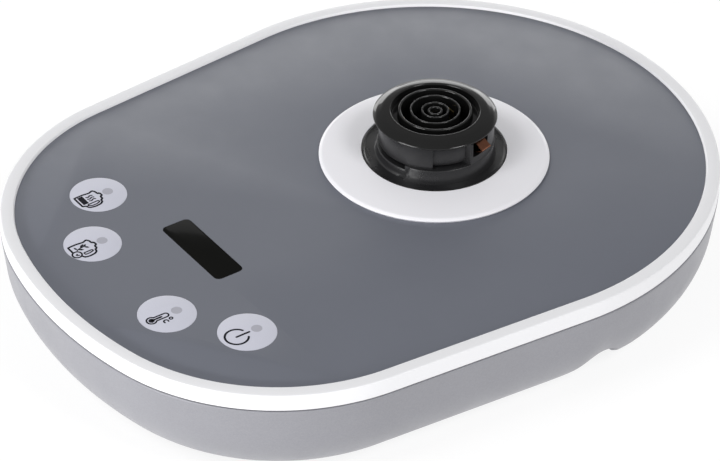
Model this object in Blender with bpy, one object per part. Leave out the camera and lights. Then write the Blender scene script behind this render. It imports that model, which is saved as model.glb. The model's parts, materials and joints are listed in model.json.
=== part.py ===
"""Power base of a cordless electric kettle: a flat stand with four keys, a display and a round connector.

Lengths are in millimetres, measured from the datum: the connector's centre, on the control panel's top
face. +Y points to the connector end, -Y to the keys and +Z up. The datum itself stands above the table
by DATUM_HEIGHT and behind the middle of the base by DATUM_BACK.
"""

import math

import bmesh
import bpy
from mathutils import Matrix, Vector

MM = 0.001
GAP = 0.3  # clearance between neighbouring pieces

# Plan outline of the control panel: a large back arc, two tapering sides, two corners and an end arc.
BACK_RADIUS = 79.62
SIDE_TAPER = 4.9  # degrees, how far each side leans towards the middle
CORNER_RADIUS = 59.3
END_RADIUS = 121.1
END_REACH = 125.96  # from the datum to the panel's edge at the key end
BACK_STEPS = 24
CORNER_STEPS = 6
END_STEPS = 5

# Heights of the casing
RIM_WIDTH = 3.95
RIM_TOP = 0.65
RIM_BOTTOM = -4.47
CASING_TOP = -4.87
CASING_BOTTOM = -31.0
FLOOR_TOP = -29.0
FOOT_BOTTOM = -32.5
DATUM_HEIGHT = -FOOT_BOTTOM
DATUM_BACK = (END_REACH - BACK_RADIUS) / 2

# Section of the casing wall: a drafted face that runs into a large round at the bottom edge
WALL_TOP_OFFSET = 4.0
WALL_TOP = -5.3
WALL_DRAFT = 6.0  # degrees
WALL = 2.4
EDGE_RADIUS = 21.3
EDGE_HEIGHT = -13.0  # centre of the round

# Cord storage under the base, and the notch where the cord leaves it
STORAGE_INNER = 30.0
STORAGE_OUTER = 61.0
STORAGE_CEILING = -17.0
STORAGE_WALL = 2.0
NOTCH_Y = 2.4
NOTCH_RADIUS = 9.0
NOTCH_CENTRE = -31.4
INLET_Z = -24.0
INLET_RADIUS = 4.4

# Top cover, panel film and the ring round the connector
PLATE_TOP = -1.2
PLATE_BOTTOM = -3.0
FILM_BOTTOM = -0.9
RING_OUTER = 34.0
RING_INNER = 21.4
RING_EDGE = 1.03  # height of the ring's outer shoulder
RING_TOP = 2.5  # height of the flat land at its inner edge
RING_LAND = 2.0
CONNECTOR_HOLE = 17.4

# Keys and display
KEY_RADIUS = 8.15
KEY_CENTRES = [(-38.7, -91.4), (-19.5, -105.2), (19.5, -105.2), (38.7, -91.4)]
KEY_BOTTOM = -0.7
PLUNGER_SHIFT = -2.2
PLUNGER_RADIUS = 1.8
PLUNGER_BOTTOM = -5.2
PIPE_SHIFT = 3.2
PIPE_RADIUS = 1.6
PIPE_BOTTOM = -4.8
DISPLAY_CENTRE = (0.0, -80.9)
DISPLAY_SIZE = (29.3, 9.2)

# Boards and fasteners
CONTROL_BOARD_TOP = -11.0
POWER_BOARD_TOP = -25.0
BOARD_THICKNESS = 1.6
CASING_POSTS = [(-56.0, -72.0), (56.0, -72.0), (-24.3, 0.0), (24.3, 0.0)]
CONTROL_POSTS = [(-43.0, -79.0), (43.0, -79.0)]
CONTROL_PEGS = [(-31.0, -108.0), (31.0, -108.0)]
POWER_POSTS = [(-39.0, -72.0), (39.0, -72.0)]
POWER_PEGS = [(-30.0, -102.0), (30.0, -102.0)]
SCREW_SEAT = -24.0
FOOT_CENTRES = [(-42.6, 50.8), (42.6, 50.8), (-36.0, -98.0), (36.0, -98.0)]
FOOT_RADIUS = 4.8

# Connector
FLANGE_RADIUS = 21.1
FLANGE_TOP = 2.1
NECK_OUTER = 16.4
NECK_INNER = 13.9
NECK_TOP = 13.6
COLLAR_TOP = 6.6
CAP_BODY = 11.2
BRIM_RADIUS = 18.25
TOWER_TOP = 16.5
EARTH_ANGLE = 14.5  # degrees from +X
EARTH_SILL = 9.0  # bottom of the opening for the earth contact
EARTH_OPENING = 6.4
GROOVES = (
    # inner radius, outer radius, floor
    (2.3, 3.45, 6.0),
    (4.15, 6.7, 5.0),
    (7.45, 9.75, 5.0),
    (10.75, 12.9, 13.5),
)
SOCKET_RADIUS = 1.5
SOCKET_FLOOR = 5.0
CONTACTS = (
    # name, angle, radius of the leaf at rest, travel outwards, width
    ("centre_contact", 180.0, 0.3, 0.4, 1.2),
    ("inner_contact", 48.0, 2.95, -0.2, 1.4),
    ("middle_contact", 90.0, 5.6, -0.6, 3.0),
    ("outer_contact", 250.0, 9.0, -0.6, 3.0),
)
LEAF_THICKNESS = 0.35
LEAF_TOP = 14.0
LEAF_BOTTOM = -10.4
EARTH_RADIUS = 13.1
LEAD_RADIUS = 0.9


def clear_scene():
    """Removes whatever the file holds at the start."""
    for item in list(bpy.data.objects):
        bpy.data.objects.remove(item)


def plastic(name, colour, roughness, metallic=0.0):
    """One Principled material."""
    made = bpy.data.materials.new(name)
    made.use_nodes = True
    shader = made.node_tree.nodes["Principled BSDF"]
    shader.inputs["Base Color"].default_value = (*colour, 1.0)
    shader.inputs["Roughness"].default_value = roughness
    shader.inputs["Metallic"].default_value = metallic
    return made


# Points in the plan


def arc(centre, radius, start, end, steps):
    """Points on an arc, both ends included. Angles are in degrees."""
    points = []
    for i in range(steps + 1):
        angle = math.radians(start + (end - start) * i / steps)
        points.append((centre[0] + radius * math.cos(angle), centre[1] + radius * math.sin(angle)))
    return points


def corner_centre():
    """Centre of the right-hand corner arc, which touches both the side and the end arc."""
    taper = math.radians(SIDE_TAPER)
    normal = Vector((math.cos(taper), -math.sin(taper)))
    along = Vector((-math.sin(taper), -math.cos(taper)))
    end_centre = Vector((0, END_RADIUS - END_REACH))
    start = (BACK_RADIUS - CORNER_RADIUS) * normal - end_centre
    lean = start.dot(along)
    reach = (END_RADIUS - CORNER_RADIUS) ** 2 - start.length_squared
    return start + (math.sqrt(lean * lean + reach) - lean) * along + end_centre


def outline(offset):
    """The base's plan outline, anticlockwise, moved outwards from the panel's edge by offset."""
    right = corner_centre()
    end_centre = (0.0, END_RADIUS - END_REACH)
    meeting = math.degrees(math.atan2(right.y - end_centre[1], right.x))
    points = arc((0, 0), BACK_RADIUS + offset, -SIDE_TAPER, 180 + SIDE_TAPER, BACK_STEPS)
    corner = CORNER_RADIUS + offset
    points += arc((-right.x, right.y), corner, 180 + SIDE_TAPER, 180 - meeting, CORNER_STEPS)
    points += arc(end_centre, END_RADIUS + offset, -180 - meeting, meeting, END_STEPS)[1:-1]
    points += arc((right.x, right.y), corner, meeting, -SIDE_TAPER, CORNER_STEPS)
    return points


def rounded_rectangle(centre, size, radius, steps=3):
    """Anticlockwise rectangle with round corners."""
    x = size[0] / 2 - radius
    y = size[1] / 2 - radius
    points = []
    for sx, sy, start in ((1, 1, 0), (-1, 1, 90), (-1, -1, 180), (1, -1, 270)):
        points += arc((centre[0] + sx * x, centre[1] + sy * y), radius, start, start + 90, steps)
    return points


def ribbon(centreline, thickness):
    """Closed outline of a bent strip, from the line that runs along its middle."""
    left = []
    right = []
    for i, point in enumerate(centreline):
        before = Vector(centreline[max(i - 1, 0)])
        after = Vector(centreline[min(i + 1, len(centreline) - 1)])
        run = (after - before).normalized()
        side = Vector((-run.y, run.x)) * thickness / 2
        left.append(tuple(Vector(point) + side))
        right.append(tuple(Vector(point) - side))
    return left + right[::-1]


# Solids, added to a bmesh


def add_loft(bm, rings):
    """Skin over rings that have the same number of points, with a flat cap on both ends."""
    rows = [[bm.verts.new(Vector(p) * MM) for p in ring] for ring in rings]
    count = len(rows[0])
    for low, high in zip(rows, rows[1:]):
        for i in range(count):
            j = (i + 1) % count
            bm.faces.new((low[i], low[j], high[j], high[i]))
    bm.faces.new(rows[0][::-1])
    bm.faces.new(rows[-1])


def add_prism(bm, points, low, high):
    """Straight extrusion of a plan outline."""
    add_loft(bm, [[(x, y, z) for x, y in points] for z in (low, high)])


def add_outline_loft(bm, section):
    """Loft of the base's outline through the (offset, height) points of section."""
    add_loft(bm, [[(x, y, z) for x, y in outline(offset)] for offset, z in section])


def add_turned(bm, profile, centre=(0, 0), steps=24):
    """Turned solid: profile is (radius, height) points, and both end rings are capped."""
    add_loft(bm, [[(x, y, z) for x, y in arc(centre, r, 0, 360, steps)[:-1]] for r, z in profile])


def add_ring(bm, loop, steps=32, start=0.0, sweep=360.0):
    """Turned ring from a closed (radius, height) loop. A sweep under 360 degrees gets flat ends."""
    whole = sweep >= 360
    count = steps if whole else steps + 1
    rows = []
    for i in range(count):
        angle = math.radians(start + sweep * i / steps)
        aim = Vector((math.cos(angle), math.sin(angle), 0))
        rows.append([bm.verts.new((aim * r + Vector((0, 0, z))) * MM) for r, z in loop])
    pairs = list(zip(rows, rows[1:]))
    if whole:
        pairs.append((rows[-1], rows[0]))
    size = len(loop)
    for a, b in pairs:
        for i in range(size):
            j = (i + 1) % size
            bm.faces.new((a[i], b[i], b[j], a[j]))
    if not whole:
        bm.faces.new(rows[0])
        bm.faces.new(rows[-1][::-1])


def add_box(bm, centre, size, turn=0.0):
    """Box by its centre and size, turned about its own vertical axis by turn degrees."""
    place = Matrix.Translation(Vector(centre) * MM) @ Matrix.Rotation(math.radians(turn), 4, "Z")
    place = place @ Matrix.Diagonal((*(Vector(size) * MM), 1.0))
    bmesh.ops.create_cube(bm, size=1.0, matrix=place)


def add_strip(bm, centreline, thickness, width, angle=0.0):
    """Bent strip whose (radius, height) line stands in the vertical plane at angle degrees from +X."""
    turn = Matrix.Rotation(math.radians(angle), 3, "Z")
    points = ribbon(centreline, thickness)
    add_loft(bm, [[turn @ Vector((r, y, z)) for r, z in points] for y in (width / 2, -width / 2)])


def add_rod(bm, start, end, radius, steps=20):
    """Straight round rod between two points."""
    run = Vector(end) - Vector(start)
    turn = run.to_track_quat("Z", "Y")
    circle = [turn @ Vector((x, y, 0)) for x, y in arc((0, 0), radius, 0, 360, steps)[:-1]]
    add_loft(bm, [[Vector(p) + c for c in circle] for p in (start, end)])


# Objects


def empty(name, parent=None, at=(0, 0, 0)):
    """A frame that pieces hang on, at a place in its parent's frame."""
    made = bpy.data.objects.new(name, None)
    bpy.context.scene.collection.objects.link(made)
    made.parent = parent
    made.location = Vector(at) * MM
    return made


def solid(name, bm, finish, parent):
    """Turns a bmesh into a named object with its material."""
    bmesh.ops.recalc_face_normals(bm, faces=bm.faces)
    mesh = bpy.data.meshes.new(name)
    bm.to_mesh(mesh)
    bm.free()
    mesh.materials.append(finish)
    return show(name, mesh, parent)


def show(name, mesh, parent, at=(0, 0, 0)):
    """Object that shows a mesh, which other objects may show too."""
    mesh.shade_smooth()
    mesh.set_sharp_from_angle(angle=math.radians(32))
    made = bpy.data.objects.new(name, mesh)
    bpy.context.scene.collection.objects.link(made)
    made.parent = parent
    made.location = Vector(at) * MM
    return made


def tool(name, bm, parent):
    """A cutter or an added volume for a Boolean, never shown itself."""
    made = solid(name, bm, bpy.data.materials["tool"], parent)
    made.hide_render = True
    made.display_type = "WIRE"
    return made


def combine(target, operation, other):
    """Adds an exact Boolean to target."""
    change = target.modifiers.new(operation.lower(), "BOOLEAN")
    change.operation = operation
    change.object = other
    change.solver = "EXACT"


def settled_mesh(made):
    """The object's mesh with its modifiers applied. The object itself is removed."""
    bpy.context.view_layer.update()
    view = made.evaluated_get(bpy.context.evaluated_depsgraph_get())
    mesh = bpy.data.meshes.new_from_object(view)
    bpy.data.objects.remove(made)
    return mesh


def copies(mesh, names, parents, at=(0, 0, 0)):
    """One object for each name, all with the same mesh, each in its parent's frame."""
    for name, parent in zip(names, parents):
        show(name, mesh, parent, at)


# Casing


def wall_section(inset, first, last, steps):
    """Points of the wall's bottom round, inset from the outer face. Angles start at the horizontal."""
    draft = math.radians(WALL_DRAFT)
    drop = WALL_TOP - EDGE_HEIGHT
    centre = WALL_TOP_OFFSET - (EDGE_RADIUS + drop * math.sin(draft)) / math.cos(draft)
    section = arc((centre, EDGE_HEIGHT), EDGE_RADIUS - inset, -first, -last, steps)
    return section


def bottom_angle(inset, height):
    """Angle on the bottom round, inset from the outer face, that lies at a height."""
    return math.degrees(math.asin((EDGE_HEIGHT - height) / (EDGE_RADIUS - inset)))


def build_lower_casing(datum, finish):
    """Grey tub, with the cord storage ring and the cord notch let into it from below."""
    outer = bmesh.new()
    section = [(WALL_TOP_OFFSET - 0.4, CASING_TOP), (WALL_TOP_OFFSET, WALL_TOP)]
    section += wall_section(0, WALL_DRAFT, bottom_angle(0, CASING_BOTTOM), 4)
    add_outline_loft(outer, section)
    casing = solid("lower_casing", outer, finish, datum)

    hollow = bmesh.new()
    rise = WALL_TOP + 1.3
    inner_top = WALL_TOP_OFFSET - WALL / math.cos(math.radians(WALL_DRAFT))
    lean = (rise - WALL_TOP) * math.tan(math.radians(WALL_DRAFT))
    section = [(inner_top + lean, rise)]
    section += wall_section(WALL, WALL_DRAFT, bottom_angle(WALL, FLOOR_TOP), 3)
    add_outline_loft(hollow, section)
    cavity = tool("cavity", hollow, datum)
    below = CASING_BOTTOM - 3

    jacket = bmesh.new()
    ceiling = STORAGE_CEILING + STORAGE_WALL
    inside = STORAGE_INNER - STORAGE_WALL
    outside = STORAGE_OUTER + STORAGE_WALL
    add_ring(jacket, [(inside, below), (outside, below), (outside, ceiling), (inside, ceiling)], 48)
    combine(cavity, "DIFFERENCE", tool("storage_jacket", jacket, datum))
    sleeve = bmesh.new()
    jacket_end = BACK_RADIUS + 4
    centre = (NOTCH_Y, NOTCH_CENTRE)
    add_rod(sleeve, (STORAGE_OUTER - 5, *centre), (jacket_end, *centre), NOTCH_RADIUS + STORAGE_WALL)
    combine(cavity, "DIFFERENCE", tool("notch_jacket", sleeve, datum))

    bosses = bmesh.new()
    for x, y in CASING_POSTS:
        add_turned(bosses, [(4.9, FLOOR_TOP - 1), (4.9, SCREW_SEAT + STORAGE_WALL)], (x, y), 20)
    for x, y in POWER_POSTS + POWER_PEGS:
        top = POWER_BOARD_TOP - BOARD_THICKNESS - GAP
        add_turned(bosses, [(2.8, FLOOR_TOP - 1), (2.8, top)], (x, y), 12)

    holes = bmesh.new()
    storage = [(STORAGE_INNER, below), (STORAGE_OUTER, below), (STORAGE_OUTER, STORAGE_CEILING)]
    add_ring(holes, storage + [(STORAGE_INNER, STORAGE_CEILING)], 48)
    channel = bmesh.new()
    add_rod(channel, (STORAGE_OUTER - 3, *centre), (BACK_RADIUS + 8, *centre), NOTCH_RADIUS)
    drilled = bmesh.new()
    for x, y in CASING_POSTS:
        add_turned(drilled, [(3.7, below), (3.7, SCREW_SEAT)], (x, y), 20)
    for x, y in POWER_POSTS:
        add_turned(drilled, [(1.3, FLOOR_TOP - 0.2), (1.3, FLOOR_TOP + 6)], (x, y), 12)
    add_rod(drilled, (0, -STORAGE_OUTER - 4, INLET_Z), (0, -STORAGE_OUTER + 4, INLET_Z), INLET_RADIUS)
    shanks = bmesh.new()
    for x, y in CASING_POSTS:
        add_turned(shanks, [(1.9, SCREW_SEAT - 1), (1.9, SCREW_SEAT + 4)], (x, y), 12)

    combine(casing, "DIFFERENCE", cavity)
    combine(casing, "UNION", tool("casing_bosses", bosses, datum))
    combine(casing, "DIFFERENCE", tool("storage_space", holes, datum))
    combine(casing, "DIFFERENCE", tool("notch_space", channel, datum))
    combine(casing, "DIFFERENCE", tool("casing_holes", drilled, datum))
    combine(casing, "DIFFERENCE", tool("casing_shanks", shanks, datum))


def build_top_cover(datum, finish):
    """White cover: the raised rim, the plate under the panel film, and posts for boards and screws."""
    shape = bmesh.new()
    lip = -7.0
    section = [(-1.0, PLATE_BOTTOM), (-1.0, lip), (1.0, lip), (1.15, RIM_BOTTOM), (3.65, RIM_BOTTOM)]
    section += [(RIM_WIDTH, RIM_BOTTOM + 0.3), (RIM_WIDTH, -0.3), (3.6, 0.35), (2.9, RIM_TOP)]
    section += [(0.75, RIM_TOP), (0.0, 0.1), (0.0, PLATE_TOP)]
    add_outline_loft(shape, section)
    cover = solid("top_cover", shape, finish, datum)

    posts = bmesh.new()
    for x, y in CASING_POSTS:
        add_turned(posts, [(3.4, SCREW_SEAT + STORAGE_WALL + GAP), (3.4, PLATE_BOTTOM + 0.8)], (x, y), 16)
    for x, y in CONTROL_POSTS + CONTROL_PEGS:
        add_turned(posts, [(2.8, CONTROL_BOARD_TOP + GAP), (2.8, PLATE_BOTTOM + 0.8)], (x, y), 12)

    holes = bmesh.new()
    above = PLATE_TOP + 1
    add_turned(holes, [(CONNECTOR_HOLE, PLATE_BOTTOM - 1), (CONNECTOR_HOLE, above)], steps=40)
    for x, y in KEY_CENTRES:
        for shift, radius in ((PLUNGER_SHIFT, PLUNGER_RADIUS), (PIPE_SHIFT, PIPE_RADIUS)):
            profile = [(radius + 0.5, PLATE_BOTTOM - 1), (radius + 0.5, above)]
            add_turned(holes, profile, (x, y + shift), 16)
    window = (DISPLAY_SIZE[0] + 2 * GAP, DISPLAY_SIZE[1] + 2 * GAP)
    add_prism(holes, rounded_rectangle(DISPLAY_CENTRE, window, 1.3), PLATE_BOTTOM - 1, above)
    for x, y in CASING_POSTS:
        add_turned(holes, [(1.8, SCREW_SEAT), (1.8, SCREW_SEAT + 13)], (x, y), 12)
    for x, y in CONTROL_POSTS:
        add_turned(holes, [(1.3, CONTROL_BOARD_TOP - 1), (1.3, CONTROL_BOARD_TOP + 5)], (x, y), 12)
    combine(cover, "UNION", tool("cover_posts", posts, datum))
    combine(cover, "DIFFERENCE", tool("cover_holes", holes, datum))


def build_panel(datum, finish):
    """Grey film that covers the plate, open at the ring, the keys and the display."""
    sheet = bmesh.new()
    add_prism(sheet, outline(-GAP), FILM_BOTTOM, 0)
    film = solid("control_panel", sheet, finish, datum)
    holes = bmesh.new()
    profile = [(RING_OUTER + GAP, FILM_BOTTOM - 1), (RING_OUTER + GAP, 1)]
    add_turned(holes, profile, steps=48)
    for centre in KEY_CENTRES:
        profile = [(KEY_RADIUS + GAP, FILM_BOTTOM - 1), (KEY_RADIUS + GAP, 1)]
        add_turned(holes, profile, centre, 28)
    window = (DISPLAY_SIZE[0] + 2 * GAP, DISPLAY_SIZE[1] + 2 * GAP)
    add_prism(holes, rounded_rectangle(DISPLAY_CENTRE, window, 1.3), FILM_BOTTOM - 1, 1)
    combine(film, "DIFFERENCE", tool("panel_holes", holes, datum))


def build_trim(datum, white, smoked):
    """Ring round the connector, on which the kettle stands, and the display's window."""
    ring = bmesh.new()
    loop = [(RING_INNER, FILM_BOTTOM), (RING_OUTER, FILM_BOTTOM), (RING_OUTER, 0.2)]
    loop += [(RING_OUTER - 0.35, 0.75), (RING_OUTER - 1.0, RING_EDGE), (RING_INNER + RING_LAND, RING_TOP)]
    loop += [(RING_INNER + 0.3, RING_TOP), (RING_INNER, RING_TOP - 0.3)]
    add_ring(ring, loop, 44)
    solid("connector_ring", ring, white, datum)
    window = bmesh.new()
    add_prism(window, rounded_rectangle(DISPLAY_CENTRE, DISPLAY_SIZE, 1.0), -2.6, 0)
    solid("display_window", window, smoked, datum)


def build_feet(datum, rubber):
    """Four soft feet under the flat of the casing's bottom."""
    profile = [(FOOT_RADIUS - 0.4, FOOT_BOTTOM), (FOOT_RADIUS, FOOT_BOTTOM + 0.4)]
    profile += [(FOOT_RADIUS, CASING_BOTTOM - GAP)]
    for i, centre in enumerate(FOOT_CENTRES, 1):
        foot = bmesh.new()
        add_turned(foot, profile, centre, 20)
        solid(f"foot_{i}", foot, rubber, datum)


# Keys


def build_keys(datum, paint):
    """Four keys. Each cap, light pipe and switch stem slides down together on its guide."""
    guides = [empty(f"key_{i}_guide", datum, (x, y, 0)) for i, (x, y) in enumerate(KEY_CENTRES, 1)]
    numbers = range(1, len(guides) + 1)

    disc = bmesh.new()
    add_turned(disc, [(KEY_RADIUS, KEY_BOTTOM), (KEY_RADIUS, -0.1), (KEY_RADIUS - 0.1, 0)], steps=28)
    cap = solid("key_cap", disc, paint["key"], None)
    plunger = bmesh.new()
    profile = [(PLUNGER_RADIUS, PLUNGER_BOTTOM), (PLUNGER_RADIUS, KEY_BOTTOM + 0.3)]
    add_turned(plunger, profile, (0, PLUNGER_SHIFT), 12)
    hole = bmesh.new()
    add_turned(hole, [(PIPE_RADIUS + GAP, -2), (PIPE_RADIUS + GAP, 1)], (0, PIPE_SHIFT), 16)
    combine(cap, "UNION", tool("plunger", plunger, None))
    combine(cap, "DIFFERENCE", tool("pipe_hole", hole, None))
    copies(settled_mesh(cap), [f"key_cap_{i}" for i in numbers], guides)

    pipe = bmesh.new()
    add_turned(pipe, [(1.4, PIPE_BOTTOM), (PIPE_RADIUS, KEY_BOTTOM), (PIPE_RADIUS, 0)], (0, PIPE_SHIFT), 16)
    mesh = settled_mesh(solid("light_pipe", pipe, paint["lens"], None))
    copies(mesh, [f"key_light_pipe_{i}" for i in numbers], guides)

    stem_top = PLUNGER_BOTTOM - GAP
    stem = bmesh.new()
    add_turned(stem, [(1.5, stem_top - 2.5), (1.5, stem_top)], (0, PLUNGER_SHIFT), 12)
    mesh = settled_mesh(solid("stem", stem, paint["black"], None))
    copies(mesh, [f"switch_stem_{i}" for i in numbers], guides)

    body_top = stem_top - 1.6
    body_bottom = CONTROL_BOARD_TOP + GAP
    body = bmesh.new()
    middle = (body_top + body_bottom) / 2
    add_box(body, (0, PLUNGER_SHIFT, middle), (6, 6, body_top - body_bottom))
    switch = solid("switch", body, paint["black"], None)
    well = bmesh.new()
    add_turned(well, [(1.9, stem_top - 3.2), (1.9, body_top + 1)], (0, PLUNGER_SHIFT), 12)
    combine(switch, "DIFFERENCE", tool("switch_well", well, None))
    copies(settled_mesh(switch), [f"key_switch_{i}" for i in numbers], guides)

    lamp = bmesh.new()
    profile = [(1.75, body_bottom), (1.75, body_bottom + 0.8), (1.4, body_bottom + 0.8)]
    profile += [(1.4, PIPE_BOTTOM - 2.0), (1.1, PIPE_BOTTOM - 1.2), (0.5, PIPE_BOTTOM - 0.8)]
    add_turned(lamp, profile, (0, PIPE_SHIFT), 12)
    mesh = settled_mesh(solid("lamp", lamp, paint["lamp"], None))
    copies(mesh, [f"key_lamp_{i}" for i in numbers], guides)


# Boards


def build_boards(datum, paint):
    """Control board under the keys, power board on the floor, and what is soldered to them."""
    board = bmesh.new()
    control_bottom = CONTROL_BOARD_TOP - BOARD_THICKNESS
    points = [(-48, -94), (-36, -113), (36, -113), (48, -94), (48, -75), (-48, -75)]
    add_prism(board, points, control_bottom, CONTROL_BOARD_TOP)
    control = solid("control_board", board, paint["board"], datum)
    board = bmesh.new()
    power_bottom = POWER_BOARD_TOP - BOARD_THICKNESS
    points = [(-44, -95), (-34, -107), (34, -107), (44, -95), (44, -66.5), (-44, -66.5)]
    add_prism(board, points, power_bottom, POWER_BOARD_TOP)
    power = solid("power_board", board, paint["board"], datum)
    drilled = ((control, control_bottom, CONTROL_POSTS), (power, power_bottom, POWER_POSTS))
    for made, bottom, centres in drilled:
        holes = bmesh.new()
        for centre in centres:
            add_turned(holes, [(1.4, bottom - 1), (1.4, bottom + BOARD_THICKNESS + 1)], centre, 12)
        combine(made, "DIFFERENCE", tool(made.name + "_holes", holes, datum))

    display = bmesh.new()
    size = (30.0, 12.0, 7.3)
    height = CONTROL_BOARD_TOP + GAP + size[2] / 2
    add_box(display, (*DISPLAY_CENTRE, height), size)
    solid("display_module", display, paint["black"], datum)

    on_board = POWER_BOARD_TOP + GAP
    boxes = (
        ("relay", (24, -84), (20, 15, 9.6), "relay"),
        ("transformer", (-4, -88), (14, 13, 9.4), "yellow"),
        ("terminal_block", (-12, -70), (20, 5, 8), "green"),
    )
    for name, centre, size, colour in boxes:
        block = bmesh.new()
        add_box(block, (*centre, on_board + size[2] / 2), size)
        bmesh.ops.bevel(block, geom=block.edges, offset=0.5 * MM, segments=1, affect="EDGES")
        solid(name, block, paint[colour], datum)
    can = bmesh.new()
    add_rod(can, (-33, -88, on_board + 4.2), (-17, -88, on_board + 4.2), 4.0)
    solid("capacitor", can, paint["can"], datum)
    link = bmesh.new()
    add_rod(link, (2, -72, on_board + 2.2), (14, -72, on_board + 2.2), 2.0, 12)
    solid("fuse", link, paint["fuse"], datum)
    sounder = bmesh.new()
    add_turned(sounder, [(6, on_board), (6, on_board + 6.4), (5.4, on_board + 7)], (-17, -100), 20)
    solid("buzzer", sounder, paint["black"], datum)


def build_screws(datum, steel):
    """Four casing screws, driven up from below, and two screws for each board."""
    head_top = SCREW_SEAT - GAP
    for i, centre in enumerate(CASING_POSTS, 1):
        screw = bmesh.new()
        profile = [(2.7, head_top - 2), (3.3, head_top - 1.4), (3.3, head_top), (1.5, head_top)]
        add_turned(screw, profile + [(1.5, head_top + 11), (0.4, head_top + 12.3)], centre, 16)
        solid(f"casing_screw_{i}", screw, steel, datum)
    for i, centre in enumerate(CONTROL_POSTS, 1):
        screw = bmesh.new()
        seat = CONTROL_BOARD_TOP - BOARD_THICKNESS - GAP
        profile = [(1.6, seat - 1.3), (2.0, seat - 0.9), (2.0, seat), (1.0, seat), (1.0, seat + 5.5)]
        add_turned(screw, profile, centre, 12)
        solid(f"control_board_screw_{i}", screw, steel, datum)
    for i, centre in enumerate(POWER_POSTS, 1):
        screw = bmesh.new()
        seat = POWER_BOARD_TOP + GAP
        profile = [(1.0, seat - 4.0), (1.0, seat), (2.0, seat), (2.0, seat + 0.9), (1.6, seat + 1.3)]
        add_turned(screw, profile, centre, 12)
        solid(f"power_board_screw_{i}", screw, steel, datum)


# Connector


def groove_profile():
    """Section of the cap's top from the centre socket out to its rim, as (radius, height) points."""
    land = TOWER_TOP - 0.5
    points = [(SOCKET_RADIUS, SOCKET_FLOOR), (SOCKET_RADIUS, land)]
    for inner, outer, floor in GROOVES:
        points += [(inner, land), (inner, floor), (outer, floor), (outer, land)]
    points[-1] = (GROOVES[-1][1], TOWER_TOP - 0.1)
    return points


def add_contact_slots(bm, height, depth):
    """Slots round the four inner contacts, with room for their travel."""
    for _, angle, radius, travel, width in CONTACTS:
        aim = Matrix.Rotation(math.radians(angle), 3, "Z")
        room = (LEAF_THICKNESS + 2 * GAP + abs(travel), width + 2 * GAP, depth)
        add_box(bm, aim @ Vector((radius + travel / 2, 0, height)), room, angle)


def build_connector(datum, paint):
    """The tower: a flanged housing, the grooved cap, its retainer and lock ring, and five contacts."""
    shape = bmesh.new()
    loop = [(NECK_INNER, -9.0), (16.9, -9.0), (16.9, FILM_BOTTOM), (FLANGE_RADIUS, FILM_BOTTOM)]
    loop += [(FLANGE_RADIUS, FLANGE_TOP + 0.1), (FLANGE_RADIUS - 0.3, FLANGE_TOP + 0.3)]
    loop += [(FLANGE_RADIUS - 1.2, FLANGE_TOP), (NECK_OUTER, FLANGE_TOP), (NECK_OUTER, NECK_TOP - 0.3)]
    loop += [(NECK_OUTER - 0.3, NECK_TOP), (NECK_INNER, NECK_TOP)]
    add_ring(shape, loop, 36)
    housing = solid("connector_housing", shape, paint["black"], datum)
    root = FLANGE_TOP - 0.6
    collar = bmesh.new()
    loop = [(15.5, root), (18.0, root), (18.0, FLANGE_TOP), (17.4, COLLAR_TOP), (15.5, COLLAR_TOP)]
    add_ring(collar, loop, 18, -65.0, 150.0)
    combine(housing, "UNION", tool("collar", collar, datum))
    shoulder = bmesh.new()
    top = NECK_TOP - 0.6
    loop = [(15.5, COLLAR_TOP - 1), (17.3, COLLAR_TOP - 1), (17.3, top), (15.5, top)]
    add_ring(shoulder, loop, 9, 0.5, 79.5)
    combine(housing, "UNION", tool("shoulder", shoulder, datum))
    window = bmesh.new()
    aim = Matrix.Rotation(math.radians(EARTH_ANGLE), 3, "Z")
    middle = aim @ Vector((16.2, 0, EARTH_SILL + 3.1))
    add_box(window, middle, (6.0, EARTH_OPENING, 6.2), EARTH_ANGLE)
    combine(housing, "DIFFERENCE", tool("earth_window", window, datum))

    head = bmesh.new()
    profile = groove_profile() + [(13.2, TOWER_TOP), (15.4, 16.1), (17.1, 15.5), (BRIM_RADIUS, 14.8)]
    profile += [(BRIM_RADIUS - 0.3, 14.2), (BRIM_RADIUS - 0.9, 14.0), (13.6, 14.0), (13.6, 12.4)]
    profile += [(CAP_BODY, 12.4), (CAP_BODY, -5.7), (9.4, -5.7), (9.4, 2.5)]
    add_turned(head, profile, steps=32)
    cap = solid("connector_cap", head, paint["black"], datum)

    disc = bmesh.new()
    add_turned(disc, [(13.5, -8.0), (13.5, -6.0)], steps=32)
    retainer = solid("connector_retainer", disc, paint["black"], datum)
    slots = bmesh.new()
    add_box(slots, aim @ Vector((13.0, 0, -7)), (3.0, 4.8, 4), EARTH_ANGLE)
    add_contact_slots(slots, -7.0, 4.0)
    combine(retainer, "DIFFERENCE", tool("retainer_slots", slots, datum))

    floors = bmesh.new()
    add_contact_slots(floors, 4.5, 6.0)
    combine(cap, "DIFFERENCE", tool("cap_slots", floors, datum))

    ring = bmesh.new()
    add_ring(ring, [(17.2, -6.0), (20.4, -6.0), (20.4, -3.3), (17.2, -3.3)], 32)
    solid("connector_lock_ring", ring, paint["black"], datum)

    leaf = bmesh.new()
    line = [(EARTH_RADIUS, LEAF_BOTTOM), (EARTH_RADIUS, EARTH_SILL + 0.6)]
    line += [(16.8, 10.15), (18.9, 10.9), (19.2, 11.25), (18.9, 11.65), (16.3, 13.2)]
    add_strip(leaf, line, 0.4, 3.8, EARTH_ANGLE)
    solid("earth_contact", leaf, paint["copper"], datum)
    for name, angle, radius, _, width in CONTACTS:
        leaf = bmesh.new()
        line = [(radius, LEAF_BOTTOM), (radius, LEAF_TOP)]
        add_strip(leaf, line, LEAF_THICKNESS, width, angle)
        solid(name, leaf, paint["brass"], datum)


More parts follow.
